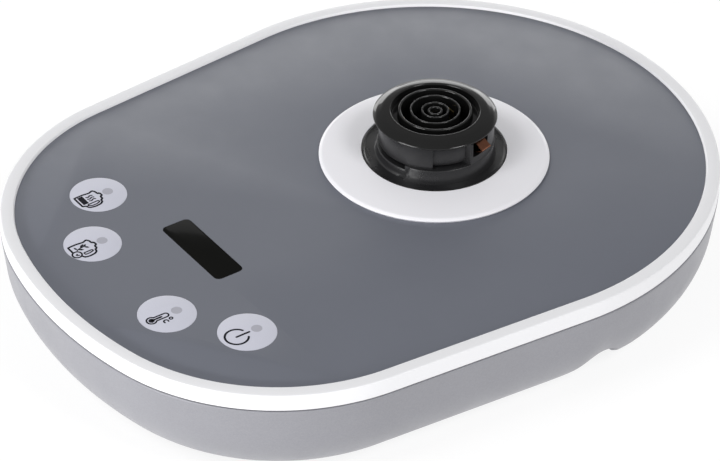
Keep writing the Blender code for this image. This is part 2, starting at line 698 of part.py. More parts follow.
def build_leads(datum, paint):
    """Three insulated leads from the terminal block to the connector, over the cord storage."""
    leads = (
        # name, colour, x at the block, over the storage ring and near the connector, angle, radius
        ("live_lead", "brown", (-18, -14, -10), CONTACTS[3][1], CONTACTS[3][2]),
        ("neutral_lead", "blue", (-12, -7, -4), CONTACTS[2][1], CONTACTS[2][2]),
        ("earth_lead", "green", (-6, 1, 8), EARTH_ANGLE, EARTH_RADIUS),
    )
    for name, colour, (start, over, near), angle, reach in leads:
        turn = Matrix.Rotation(math.radians(angle), 3, "Z")
        foot = turn @ Vector((reach, 0, 0)) + Vector((0, 0, LEAF_BOTTOM - 0.4))
        route = [(start, -70, -15.8), (start, -69, -12.5), (over, -62, -10.5), (near, -40, -11)]
        route += [foot + Vector((0, -8, -3.0)), foot + Vector((0, -1, -2.6)), foot]
        lead(name, route, LEAD_RADIUS, paint[colour], datum)


def lead(name, route, radius, finish, parent):
    """Round wire along a smooth curve through the points of route."""
    knots = [Vector(p) for p in route]
    knots = [2 * knots[0] - knots[1]] + knots + [2 * knots[-1] - knots[-2]]
    points = []
    per_span = 3
    for a, b, c, d in zip(knots, knots[1:], knots[2:], knots[3:]):
        for i in range(per_span):
            t = i / per_span
            points.append(((2 * b) + (c - a) * t + (2 * a - 5 * b + 4 * c - d) * t * t
                           + (3 * b - a - 3 * c + d) * t ** 3) / 2)
    points.append(knots[-2])
    curve = bpy.data.curves.new(name, "CURVE")
    curve.dimensions = "3D"
    curve.bevel_depth = radius * MM
    curve.bevel_resolution = 2
    curve.use_fill_caps = True
    spline = curve.splines.new("POLY")
    spline.points.add(len(points) - 1)
    for knot, place in zip(spline.points, points):
        knot.co = (*(place * MM), 1.0)
    curve.materials.append(finish)
    made = bpy.data.objects.new(name, curve)
    bpy.context.scene.collection.objects.link(made)
    made.parent = parent


def build_grommet(datum, rubber):
    """Soft bush in the cord inlet, between the cord storage and the inside."""
    sleeve = bmesh.new()
    add_ring(sleeve, [(3.3, -2.8), (4.1, -2.8), (4.1, 1.5), (5.6, 1.5), (5.6, 2.8), (3.3, 2.8)], 20)
    place = Matrix.Translation(Vector((0, -STORAGE_OUTER - 1, INLET_Z)) * MM)
    bmesh.ops.transform(sleeve, matrix=place @ Matrix.Rotation(math.radians(-90), 4, "X"), verts=sleeve.verts)
    solid("cord_inlet_grommet", sleeve, rubber, datum)


def main():
    clear_scene()
    plastic("tool", (1.0, 0.3, 0.1), 0.5)
    paint = {
        "white": plastic("white_plastic", (0.82, 0.82, 0.84), 0.32),
        "grey": plastic("grey_plastic", (0.42, 0.42, 0.45), 0.38),
        "panel": plastic("panel_film", (0.155, 0.165, 0.195), 0.3),
        "key": plastic("key_print", (0.58, 0.58, 0.66), 0.45),
        "lens": plastic("light_pipe", (0.45, 0.45, 0.5), 0.35),
        "smoked": plastic("smoked_window", (0.008, 0.008, 0.007), 0.12),
        "black": plastic("black_plastic", (0.022, 0.022, 0.023), 0.4),
        "rubber": plastic("rubber", (0.03, 0.03, 0.03), 0.8),
        "copper": plastic("copper", (0.55, 0.24, 0.12), 0.3, 1.0),
        "brass": plastic("brass", (0.72, 0.55, 0.25), 0.3, 1.0),
        "steel": plastic("zinc_steel", (0.6, 0.6, 0.62), 0.3, 1.0),
        "board": plastic("circuit_board", (0.02, 0.12, 0.05), 0.5),
        "lamp": plastic("lamp", (0.8, 0.8, 0.75), 0.2),
        "relay": plastic("relay_case", (0.05, 0.1, 0.3), 0.4),
        "yellow": plastic("transformer_tape", (0.75, 0.6, 0.1), 0.5),
        "can": plastic("capacitor_sleeve", (0.05, 0.06, 0.09), 0.35),
        "fuse": plastic("fuse_body", (0.7, 0.66, 0.55), 0.3),
        "green": plastic("green_plastic", (0.1, 0.35, 0.12), 0.45),
        "brown": plastic("brown_insulation", (0.2, 0.08, 0.03), 0.5),
        "blue": plastic("blue_insulation", (0.03, 0.12, 0.5), 0.5),
    }
    datum = empty("datum", None, (0, DATUM_BACK, DATUM_HEIGHT))
    build_lower_casing(datum, paint["grey"])
    build_top_cover(datum, paint["white"])
    build_panel(datum, paint["panel"])
    build_trim(datum, paint["white"], paint["smoked"])
    build_feet(datum, paint["rubber"])
    build_keys(datum, paint)
    build_boards(datum, paint)
    build_screws(datum, paint["steel"])
    build_connector(datum, paint)
    build_leads(datum, paint)
    build_grommet(datum, paint["rubber"])


main()
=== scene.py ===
"""Looks of the electric kettle power base: shells, key pictures, connector and materials.

Lengths are in millimetres from the datum, which is the connector's centre on the panel's top face, with
+Y to the connector end and -Y to the keys. The datum's place comes from the frame.
"""

import json
import math

import bmesh
import bpy
from mathutils import Matrix, Vector


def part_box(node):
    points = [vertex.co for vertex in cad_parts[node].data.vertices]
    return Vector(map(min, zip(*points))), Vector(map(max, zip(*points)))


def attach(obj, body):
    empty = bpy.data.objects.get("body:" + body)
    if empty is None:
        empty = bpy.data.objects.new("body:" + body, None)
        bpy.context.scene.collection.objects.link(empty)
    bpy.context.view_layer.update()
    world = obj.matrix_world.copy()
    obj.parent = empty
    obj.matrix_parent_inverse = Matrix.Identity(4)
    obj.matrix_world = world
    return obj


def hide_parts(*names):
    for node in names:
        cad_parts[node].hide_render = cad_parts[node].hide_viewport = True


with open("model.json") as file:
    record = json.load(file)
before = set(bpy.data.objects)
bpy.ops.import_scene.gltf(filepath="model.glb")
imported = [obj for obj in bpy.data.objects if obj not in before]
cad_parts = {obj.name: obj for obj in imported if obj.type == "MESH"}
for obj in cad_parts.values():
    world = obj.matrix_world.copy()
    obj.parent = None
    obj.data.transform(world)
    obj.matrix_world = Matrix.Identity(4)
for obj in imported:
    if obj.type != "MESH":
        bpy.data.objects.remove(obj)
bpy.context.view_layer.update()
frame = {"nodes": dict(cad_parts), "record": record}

MM = 0.001
ring_low, ring_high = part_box("connector_ring")
panel_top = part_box("control_panel")[1].z
DATUM = Vector(((ring_low.x + ring_high.x) / 2, (ring_low.y + ring_high.y) / 2, panel_top))
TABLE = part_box("foot_1")[0].z

# Plan outline of the panel
BACK_RADIUS = 79.62
SIDE_TAPER = 4.9
CORNER_RADIUS = 59.3
END_RADIUS = 121.1
END_REACH = 125.96
BACK_STEPS = 260
SIDE_STEPS = 40
CORNER_STEPS = 60
END_STEPS = 44

# Casing. Offsets are measured outwards from the panel's outline
RIM_WIDTH = 3.95
PANEL_EDGE = -0.22
RIM_TOP = 0.65
RIM_BOTTOM = -4.6
CASING_TOP = -4.97
CASING_BOTTOM = -31.0
FLOOR_TOP = -29.0
WALL = 2.4
WALL_TOP_OFFSET = 4.0
WALL_TOP = -5.4
WALL_DRAFT = 6.0
EDGE_RADIUS = 21.3
EDGE_HEIGHT = -13.0  # centre of the round at the bottom edge
STORAGE_INNER = 30.0
STORAGE_OUTER = 61.0
STORAGE_CEILING = -17.0
STORAGE_WALL = 2.0
NOTCH_Y = 2.4
NOTCH_RADIUS = 9.0
NOTCH_CENTRE = -31.4
FLUTE_DEPTH = 1.7
FLUTE_WIDTH = 6.5
FLUTE_TOP = -9.0
FLUTE_END = -26.0
INLET_Z = -24.0
INLET_RADIUS = 4.4
SCREW_SEAT = -24.0
BOSS_RADIUS = 4.9
PEG_RADIUS = 2.8
POST_RADIUS = 3.4
WELL_RADIUS = 3.7
SHANK_HOLE = 1.9
CASING_PILOT = 1.8
BOARD_PILOT = 1.3
SEAT_GAP = 0.3  # between parts that are screwed together
CASING_POSTS = [(-56.0, -72.0), (56.0, -72.0), (-24.3, 0.0), (24.3, 0.0)]
CONTROL_POSTS = [(-43.0, -79.0), (43.0, -79.0)]
CONTROL_PEGS = [(-31.0, -108.0), (31.0, -108.0)]
POWER_POSTS = [(-39.0, -72.0), (39.0, -72.0)]
POWER_PEGS = [(-30.0, -102.0), (30.0, -102.0)]
CONTROL_BOARD_TOP = -11.0
POWER_BOARD_BOTTOM = -26.6
PLATE_TOP = -1.2
PLATE_BOTTOM = -3.0
COVER_LIP = -7.0
LIP_HALF = 1.0
COVER_ROUND = 0.55
TOWER_HOLE = 17.4
FILM_BOTTOM = -0.9

# Ring, keys and display
RING_OUTER = 33.9
RING_FOOT = 33.3
RING_INNER = 21.3
RING_EDGE = 1.25
RING_TOP = 2.5
KEY_RADIUS = 8.3
KEY_CENTRES = [(-38.7, -91.4), (-19.5, -105.2), (19.5, -105.2), (38.7, -91.4)]
KEY_BOTTOM = -0.7
PLUNGER_SHIFT = -2.2
PLUNGER_HOLE = 2.3
PIPE_SHIFT = 3.2
PIPE_HOLE = 2.25
DOT_CENTRE = (0.15, 3.05)
DOT_RADIUS = 1.55
SEAM = 0.04
DISPLAY_CENTRE = (0.0, -80.9)
DISPLAY_SIZE = (29.3, 9.2)
DISPLAY_CORNER = 1.7
INK_WIDTH = 0.6
INK_HEIGHT = 0.03

# Connector, with angles in degrees from +X
FLANGE_RADIUS = 21.18
FLANGE_TOP = 2.1
LEDGE_RADIUS = 17.0
LEDGE_TOP = 5.0
NECK_OUTER = 16.4
NECK_INNER = 13.9
NECK_TOP = 13.6
SLEEVE_BOTTOM = 6.4
STEP_ANGLE = -38.0
RECESS_RADIUS = 15.6
RECESS_BOTTOM = 7.4
COLLAR_ROOT = 18.0
COLLAR_RADIUS = 17.4
COLLAR_TOP = 6.6
COLLAR_START = -66.0
SHOULDER_RADIUS = 17.35
SHOULDER_START = 1.2
SHOULDER_BACK = -3.5
SHOULDER_END = 80.0
CAP_BODY = 11.2
BRIM_RADIUS = 18.25
TOWER_TOP = 16.5
SOCKET_RADIUS = 1.5
SOCKET_FLOOR = 5.0
RIDGE_ROUND = 0.42
GROOVES = (
    # inner radius, outer radius, floor, height of the land inside the groove
    (2.2, 3.52, 6.0, 16.0),
    (4.08, 6.8, 5.0, 16.2),
    (7.35, 9.95, 5.0, 16.42),
    (10.75, 12.9, 13.5, 16.45),
)
CONTACTS = (
    # angle, radius of the leaf at rest, travel outwards, width
    (180.0, 0.3, 0.4, 1.2),
    (48.0, 2.95, -0.2, 1.4),
    (90.0, 5.6, -0.6, 3.0),
    (250.0, 9.0, -0.6, 3.0),
)
LEAF_THICKNESS = 0.35
EARTH_ANGLE = 14.5
EARTH_SILL = 9.0
EARTH_OPENING = 6.5
EARTH_RADIUS = 13.1
EARTH_WIDTH = 3.8
LEAF_BOTTOM = -10.4
TURN_STEPS = 160

# Camera: the photograph's viewpoint
VIEW_AZIMUTH = 54.5725
VIEW_ELEVATION = 36.661
VIEW_ROLL = 0.64
VIEW_DISTANCE = 1036.47
VIEW_TARGET = (18.04, -39.13, 0.0)
VIEW_LENS = 182.115
SENSOR = 36.0
CLIP_NEAR = 0.01  # in metres
CLIP_FAR = 50.0

# Floor, sky and lights
FLOOR_HALF = 4.0  # in metres
FLOOR_COLOUR = 0.22
FLOOR_ROUGHNESS = 0.9
FLOOR_SPECULAR = 0.1
FLOOR_GLOW = 0.82
SKY_LOW = 0.9
SKY_HIGH = 0.28
SKY_EDGES = (12.0, 30.0)  # elevations between which the sky fades from low to high
LIGHTS = (
    # name, azimuth, elevation, distance, width, height, watts
    ("softbox_left", -5.5, 50.0, 1.5, 0.6, 0.6, 7.6),
    ("softbox_right", 104.6, 48.0, 1.5, 0.45, 0.45, 6.6),
    ("front_fill", 8.0, 6.0, 1.5, 0.9, 0.25, 13.0),
    ("backlight", 234.6, 14.0, 0.8, 0.9, 0.25, 1.65),
)


# Materials

NOISE_LOW = 0.3
NOISE_HIGH = 0.7
FINE_SHARE = 0.4  # of the mottle, the rest is slow
COAT_ROUGHNESS = 0.12
RELIEF_DEPTH = 0.05


def node(tree, kind, **values):
    """Adds a node and sets its plain properties."""
    made = tree.nodes.new(kind)
    for key, value in values.items():
        setattr(made, key, value)
    return made


def noise(tree, place, size, detail=2.0, rough=0.5):
    """Noise whose blobs are about size millimetres across."""
    made = node(tree, "ShaderNodeTexNoise")
    made.inputs["Scale"].default_value = 1.0 / (size * MM)
    made.inputs["Detail"].default_value = detail
    made.inputs["Roughness"].default_value = rough
    tree.links.new(place.outputs["Object"], made.inputs["Vector"])
    return made


def mapped(tree, source, low, high):
    """Maps a noise value to low..high."""
    made = node(tree, "ShaderNodeMapRange")
    made.inputs["From Min"].default_value = NOISE_LOW
    made.inputs["From Max"].default_value = NOISE_HIGH
    made.inputs["To Min"].default_value = low
    made.inputs["To Max"].default_value = high
    tree.links.new(source, made.inputs["Value"])
    return made.outputs["Result"]


def surface(name, colour, roughness, grain=0.35, bump=0.04, mottle=0.03, spread=0.05, metallic=0.0,
            coat=0.0, ior=1.5, blotch=18.0, fleck=0.0):
    """Moulded, printed or plated surface: mottled colour, uneven roughness and a fine raised grain.

    grain is the size of the texture in millimetres, blotch that of slow changes, mottle the share by
    which the colour varies, spread how far the roughness varies and fleck the share of bright specks.
    """
    made = bpy.data.materials.new(name)
    made.use_nodes = True
    tree = made.node_tree
    shader = tree.nodes["Principled BSDF"]
    shader.inputs["Metallic"].default_value = metallic
    shader.inputs["IOR"].default_value = ior
    shader.inputs["Coat Weight"].default_value = coat
    shader.inputs["Coat Roughness"].default_value = COAT_ROUGHNESS
    place = node(tree, "ShaderNodeTexCoord")

    slow = noise(tree, place, blotch, 3.0)
    fine = noise(tree, place, grain, 2.0)
    blend = node(tree, "ShaderNodeMix", data_type="RGBA")
    blend.inputs["A"].default_value = (*[c * (1 - mottle) for c in colour], 1.0)
    blend.inputs["B"].default_value = (*[min(1.0, c * (1 + mottle)) for c in colour], 1.0)
    both = node(tree, "ShaderNodeMath", operation="MULTIPLY_ADD")
    both.inputs[1].default_value = FINE_SHARE
    tree.links.new(fine.outputs["Fac"], both.inputs[0])
    scaled = node(tree, "ShaderNodeMath", operation="MULTIPLY")
    scaled.inputs[1].default_value = 1 - FINE_SHARE
    tree.links.new(slow.outputs["Fac"], scaled.inputs[0])
    tree.links.new(scaled.outputs[0], both.inputs[2])
    tree.links.new(mapped(tree, both.outputs[0], 0.0, 1.0), blend.inputs["Factor"])
    result = blend.outputs["Result"]
    if fleck:
        specks = node(tree, "ShaderNodeTexVoronoi")
        specks.inputs["Scale"].default_value = 1.0 / (grain * MM)
        tree.links.new(place.outputs["Object"], specks.inputs["Vector"])
        lift = node(tree, "ShaderNodeMapRange")
        lift.inputs["To Min"].default_value = 1 - fleck
        lift.inputs["To Max"].default_value = 1 + fleck
        tree.links.new(specks.outputs["Color"], lift.inputs["Value"])
        tint = node(tree, "ShaderNodeVectorMath", operation="SCALE")
        tree.links.new(result, tint.inputs[0])
        tree.links.new(lift.outputs["Result"], tint.inputs["Scale"])
        result = tint.outputs[0]
    tree.links.new(result, shader.inputs["Base Color"])

    polish = noise(tree, place, blotch * 0.4, 4.0)
    tree.links.new(mapped(tree, polish.outputs["Fac"], roughness - spread, roughness + spread),
                   shader.inputs["Roughness"])
    if bump:
        relief = node(tree, "ShaderNodeBump")
        relief.inputs["Strength"].default_value = bump
        relief.inputs["Distance"].default_value = RELIEF_DEPTH * MM
        tree.links.new(fine.outputs["Fac"], relief.inputs["Height"])
        tree.links.new(relief.outputs["Normal"], shader.inputs["Normal"])
    return made


# Plan outlines


def arc(centre, radius, start, end, steps):
    """Points on an arc, both ends included. Angles are in degrees."""
    points = []
    for i in range(steps + 1):
        angle = math.radians(start + (end - start) * i / steps)
        points.append((centre[0] + radius * math.cos(angle), centre[1] + radius * math.sin(angle)))
    return points


def straight(start, end, steps):
    """Points between two ends, without the ends."""
    shares = [i / steps for i in range(1, steps)]
    return [(start[0] + (end[0] - start[0]) * t, start[1] + (end[1] - start[1]) * t) for t in shares]


def corner_centre():
    """Centre of the right-hand corner arc, which touches both the side and the end arc."""
    taper = math.radians(SIDE_TAPER)
    normal = Vector((math.cos(taper), -math.sin(taper)))
    along = Vector((-math.sin(taper), -math.cos(taper)))
    end_centre = Vector((0, END_RADIUS - END_REACH))
    start = (BACK_RADIUS - CORNER_RADIUS) * normal - end_centre
    lean = start.dot(along)
    reach = (END_RADIUS - CORNER_RADIUS) ** 2 - start.length_squared
    return start + (math.sqrt(lean * lean + reach) - lean) * along + end_centre


def outline(offset):
    """The base's plan outline, anticlockwise, moved outwards from the panel's edge by offset."""
    right = corner_centre()
    end_centre = (0.0, END_RADIUS - END_REACH)
    meeting = math.degrees(math.atan2(right.y - end_centre[1], right.x))
    back = arc((0, 0), BACK_RADIUS + offset, -SIDE_TAPER, 180 + SIDE_TAPER, BACK_STEPS)
    corner = CORNER_RADIUS + offset
    left = arc((-right.x, right.y), corner, 180 + SIDE_TAPER, 180 - meeting, CORNER_STEPS)
    end = arc(end_centre, END_RADIUS + offset, -180 - meeting, meeting, END_STEPS)[1:-1]
    last = arc((right.x, right.y), corner, meeting, -SIDE_TAPER, CORNER_STEPS)
    down = straight(back[-1], left[0], SIDE_STEPS)
    up = straight(last[-1], back[0], SIDE_STEPS)
    return back + down + left + end + last + up


def rounded_rectangle(centre, size, radius, steps=10):
    """Anticlockwise rectangle with round corners."""
    x = size[0] / 2 - radius
    y = size[1] / 2 - radius
    points = []
    for sx, sy, start in ((1, 1, 0), (-1, 1, 90), (-1, -1, 180), (1, -1, 270)):
        points += arc((centre[0] + sx * x, centre[1] + sy * y), radius, start, start + 90, steps)
    return points


# Meshes


def add_loft(bm, rings, caps=True):
    """Skin over rings that have the same number of points."""
    rows = [[bm.verts.new(Vector(p) * MM) for p in ring] for ring in rings]
    count = len(rows[0])
    for low, high in zip(rows, rows[1:]):
        for i in range(count):
            j = (i + 1) % count
            bm.faces.new((low[i], low[j], high[j], high[i]))
    if caps:
        bm.faces.new(rows[0][::-1])
        bm.faces.new(rows[-1])


def add_prism(bm, points, low, high):
    """Straight extrusion of a plan outline."""
    add_loft(bm, [[(x, y, z) for x, y in points] for z in (low, high)])


def add_turned(bm, profile, centre=(0, 0), steps=48):
    """Turned solid: profile is (radius, height) points, and both end rings are capped."""
    add_loft(bm, [[(x, y, z) for x, y in arc(centre, r, 0, 360, steps)[:-1]] for r, z in profile])


def add_ring(bm, loop, steps=TURN_STEPS, start=0.0, sweep=360.0):
    """Turned ring from a closed (radius, height) loop. A sweep under 360 degrees gets flat ends."""
    whole = sweep >= 360
    count = steps if whole else steps + 1
    rows = []
    for i in range(count):
        angle = math.radians(start + sweep * i / steps)
        aim = Vector((math.cos(angle), math.sin(angle), 0))
        rows.append([bm.verts.new((aim * r + Vector((0, 0, z))) * MM) for r, z in loop])
    pairs = list(zip(rows, rows[1:]))
    if whole:
        pairs.append((rows[-1], rows[0]))
    size = len(loop)
    for a, b in pairs:
        for i in range(size):
            j = (i + 1) % size
            bm.faces.new((a[i], b[i], b[j], a[j]))
    if not whole:
        bm.faces.new(rows[0])
        bm.faces.new(rows[-1][::-1])


def add_box(bm, centre, size, turn=0.0):
    """Box by its centre and size, turned about its own vertical axis by turn degrees."""
    place = Matrix.Translation(Vector(centre) * MM) @ Matrix.Rotation(math.radians(turn), 4, "Z")
    place = place @ Matrix.Diagonal((*(Vector(size) * MM), 1.0))
    bmesh.ops.create_cube(bm, size=1.0, matrix=place)


def add_rod(bm, start, end, radius, steps=48):
    """Straight round rod between two points."""
    run = Vector(end) - Vector(start)
    turn = run.to_track_quat("Z", "Y")
    circle = [turn @ Vector((x, y, 0)) for x, y in arc((0, 0), radius, 0, 360, steps)[:-1]]
    add_loft(bm, [[Vector(p) + c for c in circle] for p in (start, end)])


def softened(corners, radius, steps=4):
    """Open polyline whose inner corners are rounded by about radius."""
    points = [tuple(corners[0])]
    for before, corner, after in zip(corners, corners[1:], corners[2:]):
        c = Vector(corner)
        back = Vector(before) - c
        on = Vector(after) - c
        reach = min(radius, back.length / 2, on.length / 2)
        a = c + back.normalized() * reach
        b = c + on.normalized() * reach
        for i in range(steps + 1):
            t = i / steps
            points.append(tuple(a * (1 - t) ** 2 + c * 2 * t * (1 - t) + b * t * t))
    points.append(tuple(corners[-1]))
    return points


def rounded_loop(corners, radius, steps=4):
    """Closed polygon with every corner rounded by about radius."""
    wrapped = [corners[-1], *corners, corners[0]]
    return softened(wrapped, radius, steps)[1:-1]


def ribbon(centreline, thickness):
    """Closed outline of a bent strip, from the line that runs along its middle."""
    left = []
    right = []
    for i, point in enumerate(centreline):
        before = Vector(centreline[max(i - 1, 0)])
        after = Vector(centreline[min(i + 1, len(centreline) - 1)])
        run = (after - before).normalized()
        side = Vector((-run.y, run.x)) * thickness / 2
        left.append(tuple(Vector(point) + side))
        right.append(tuple(Vector(point) - side))
    return left + right[::-1]


def add_strip(bm, centreline, thickness, width, angle):
    """Bent strip whose (radius, height) line stands in the vertical plane at angle degrees from +X."""
    turn = Matrix.Rotation(math.radians(angle), 3, "Z")
    points = ribbon(centreline, thickness)
    add_loft(bm, [[turn @ Vector((r, y, z)) for r, z in points] for y in (width / 2, -width / 2)])


def place_mesh(name, bm):
    """Named object from a bmesh in datum millimetres, moved to the frame."""
    bmesh.ops.recalc_face_normals(bm, faces=bm.faces)
    mesh = bpy.data.meshes.new(name)
    bm.to_mesh(mesh)
    bm.free()
    mesh.transform(Matrix.Translation(DATUM))
    made = bpy.data.objects.new(name, mesh)
    bpy.context.scene.collection.objects.link(made)
    return made


def cut(target, cutters, operation="DIFFERENCE"):
    """Applies exact Booleans to target, one for each bmesh in cutters."""
    for bm in cutters:
        other = place_mesh("cutter", bm)
        change = target.modifiers.new("cut", "BOOLEAN")
        change.operation = operation
        change.object = other
        change.solver = "EXACT"
        settle(target)
        bpy.data.objects.remove(other)


def settle(target):
    """Applies target's modifiers to its mesh."""
    bpy.context.view_layer.update()
    view = target.evaluated_get(bpy.context.evaluated_depsgraph_get())
    mesh = bpy.data.meshes.new_from_object(view)
    target.modifiers.clear()
    target.data = mesh


def piece(made, body, slot, *nodes, sharp=30.0, finish=None):
    """Finishes a piece, rides it on its body and lets it stand for CAD nodes.

    The slot names its paint, unless finish names another.
    """
    made.data.shade_smooth()
    made.data.set_sharp_from_angle(angle=math.radians(sharp))
    made.data.materials.clear()
    made.data.materials.append(paint[finish or slot])
    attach(made, body)
    if nodes:
        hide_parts(*nodes)
    return made


# Casing


def wall_section(inset, first, last, steps):
    """Points of the wall's bottom round, inset from the outer face, as (offset, height)."""
    draft = math.radians(WALL_DRAFT)
    drop = WALL_TOP - EDGE_HEIGHT
    centre = WALL_TOP_OFFSET - (EDGE_RADIUS + drop * math.sin(draft)) / math.cos(draft)
    return arc((centre, EDGE_HEIGHT), EDGE_RADIUS - inset, -first, -last, steps)


def bottom_angle(inset, height):
    """Angle on the bottom round, inset from the outer face, that lies at a height."""
    return math.degrees(math.asin((EDGE_HEIGHT - height) / (EDGE_RADIUS - inset)))


def flute(x, y, z):
    """How far the wall is drawn in above the cord notch."""
    if x < 0 or z > FLUTE_TOP:
        return 0.0
    share = min(1.0, (FLUTE_TOP - z) / (FLUTE_TOP - FLUTE_END))
    rise = share * share * (3 - 2 * share)
    return FLUTE_DEPTH * rise * math.exp(-(((y - NOTCH_Y) / FLUTE_WIDTH) ** 2))


def make_casing():
    """Grey tub with its fluted cord notch, storage ring, bosses and screw wells."""
    outer = bmesh.new()
    lean = math.tan(math.radians(WALL_DRAFT))
    drop = 2.6
    mouth = (2.7, CASING_TOP)
    below_top = (WALL_TOP_OFFSET - drop * lean, WALL_TOP - drop)
    top = softened([mouth, (WALL_TOP_OFFSET + 0.05, CASING_TOP), below_top], 0.5, 5)
    round_start = wall_section(0, WALL_DRAFT, bottom_angle(0, CASING_BOTTOM), 14)
    wall_top = top[-2]
    section = top[:-1]
    section += straight(wall_top, round_start[0], 9)
    section += round_start[:-1]
    last = round_start[-1]
    section += softened([round_start[-2], last, (last[0] - 2.0, CASING_BOTTOM)], 0.5, 3)[1:]
    rings = []
    for offset, z in section:
        ring = []
        for x, y in outline(offset):
            ring.append((x - flute(x, y, z), y, z))
        rings.append(ring)
    add_loft(outer, rings)
    casing = place_mesh("casing_shell", outer)

    below = CASING_BOTTOM - 3
    hollow = bmesh.new()
    inner_top = WALL_TOP_OFFSET - WALL / math.cos(math.radians(WALL_DRAFT))
    above = 1.3
    section = [(inner_top + above * lean, WALL_TOP + above)]
    section += wall_section(WALL, WALL_DRAFT, bottom_angle(WALL, FLOOR_TOP), 8)
    add_loft(hollow, [[(x, y, z) for x, y in outline(offset)[::3]] for offset, z in section])
    cavity = place_mesh("cavity", hollow)
    jacket = bmesh.new()
    inside = STORAGE_INNER - STORAGE_WALL
    outside = STORAGE_OUTER + STORAGE_WALL
    ceiling = STORAGE_CEILING + STORAGE_WALL
    walls = [(outside, below), (outside, ceiling), (inside, ceiling), (inside, below)]
    loop = [(inside, below), (outside, below)]
    loop += softened(walls, 2.5, 4)[1:-1]
    add_ring(jacket, loop, 120)
    sleeve = bmesh.new()
    start = (STORAGE_OUTER - 5, NOTCH_Y, NOTCH_CENTRE)
    end = (BACK_RADIUS + 4, NOTCH_Y, NOTCH_CENTRE)
    add_rod(sleeve, start, end, NOTCH_RADIUS + STORAGE_WALL)
    cut(cavity, [jacket, sleeve])

    change = casing.modifiers.new("hollow", "BOOLEAN")
    change.object = cavity
    change.solver = "EXACT"
    settle(casing)
    bpy.data.objects.remove(cavity)

    bosses = bmesh.new()
    for centre in CASING_POSTS:
        profile = [(BOSS_RADIUS, FLOOR_TOP - 1), (BOSS_RADIUS, SCREW_SEAT + STORAGE_WALL)]
        add_turned(bosses, profile, centre, 40)
    for centre in POWER_POSTS + POWER_PEGS:
        profile = [(PEG_RADIUS, FLOOR_TOP - 1), (PEG_RADIUS, POWER_BOARD_BOTTOM - SEAT_GAP)]
        add_turned(bosses, profile, centre, 24)
    cut(casing, [bosses], "UNION")

    storage = bmesh.new()
    walls = [(STORAGE_OUTER, below), (STORAGE_OUTER, STORAGE_CEILING)]
    walls += [(STORAGE_INNER, STORAGE_CEILING), (STORAGE_INNER, below)]
    add_ring(storage, [(STORAGE_INNER, below)] + softened(walls, 2.0, 4)[:-1], 120)
    channel = bmesh.new()
    start = (STORAGE_OUTER - 3, NOTCH_Y, NOTCH_CENTRE)
    end = (BACK_RADIUS + 8, NOTCH_Y, NOTCH_CENTRE)
    add_rod(channel, start, end, NOTCH_RADIUS, 64)
    drilled = bmesh.new()
    for centre in CASING_POSTS:
        add_turned(drilled, [(WELL_RADIUS, below), (WELL_RADIUS, SCREW_SEAT)], centre, 32)
    for centre in POWER_POSTS:
        profile = [(BOARD_PILOT, FLOOR_TOP - 0.2), (BOARD_PILOT, FLOOR_TOP + 6)]
        add_turned(drilled, profile, centre, 16)
    start = (0, -STORAGE_OUTER - 4, INLET_Z)
    end = (0, -STORAGE_OUTER + 4, INLET_Z)
    add_rod(drilled, start, end, INLET_RADIUS)
    shanks = bmesh.new()
    for centre in CASING_POSTS:
        profile = [(SHANK_HOLE, SCREW_SEAT - 1), (SHANK_HOLE, SCREW_SEAT + 4)]
        add_turned(shanks, profile, centre, 24)
    cut(casing, [storage, channel, drilled, shanks])
    piece(casing, "base", "grey_plastic", "lower_casing", sharp=28)


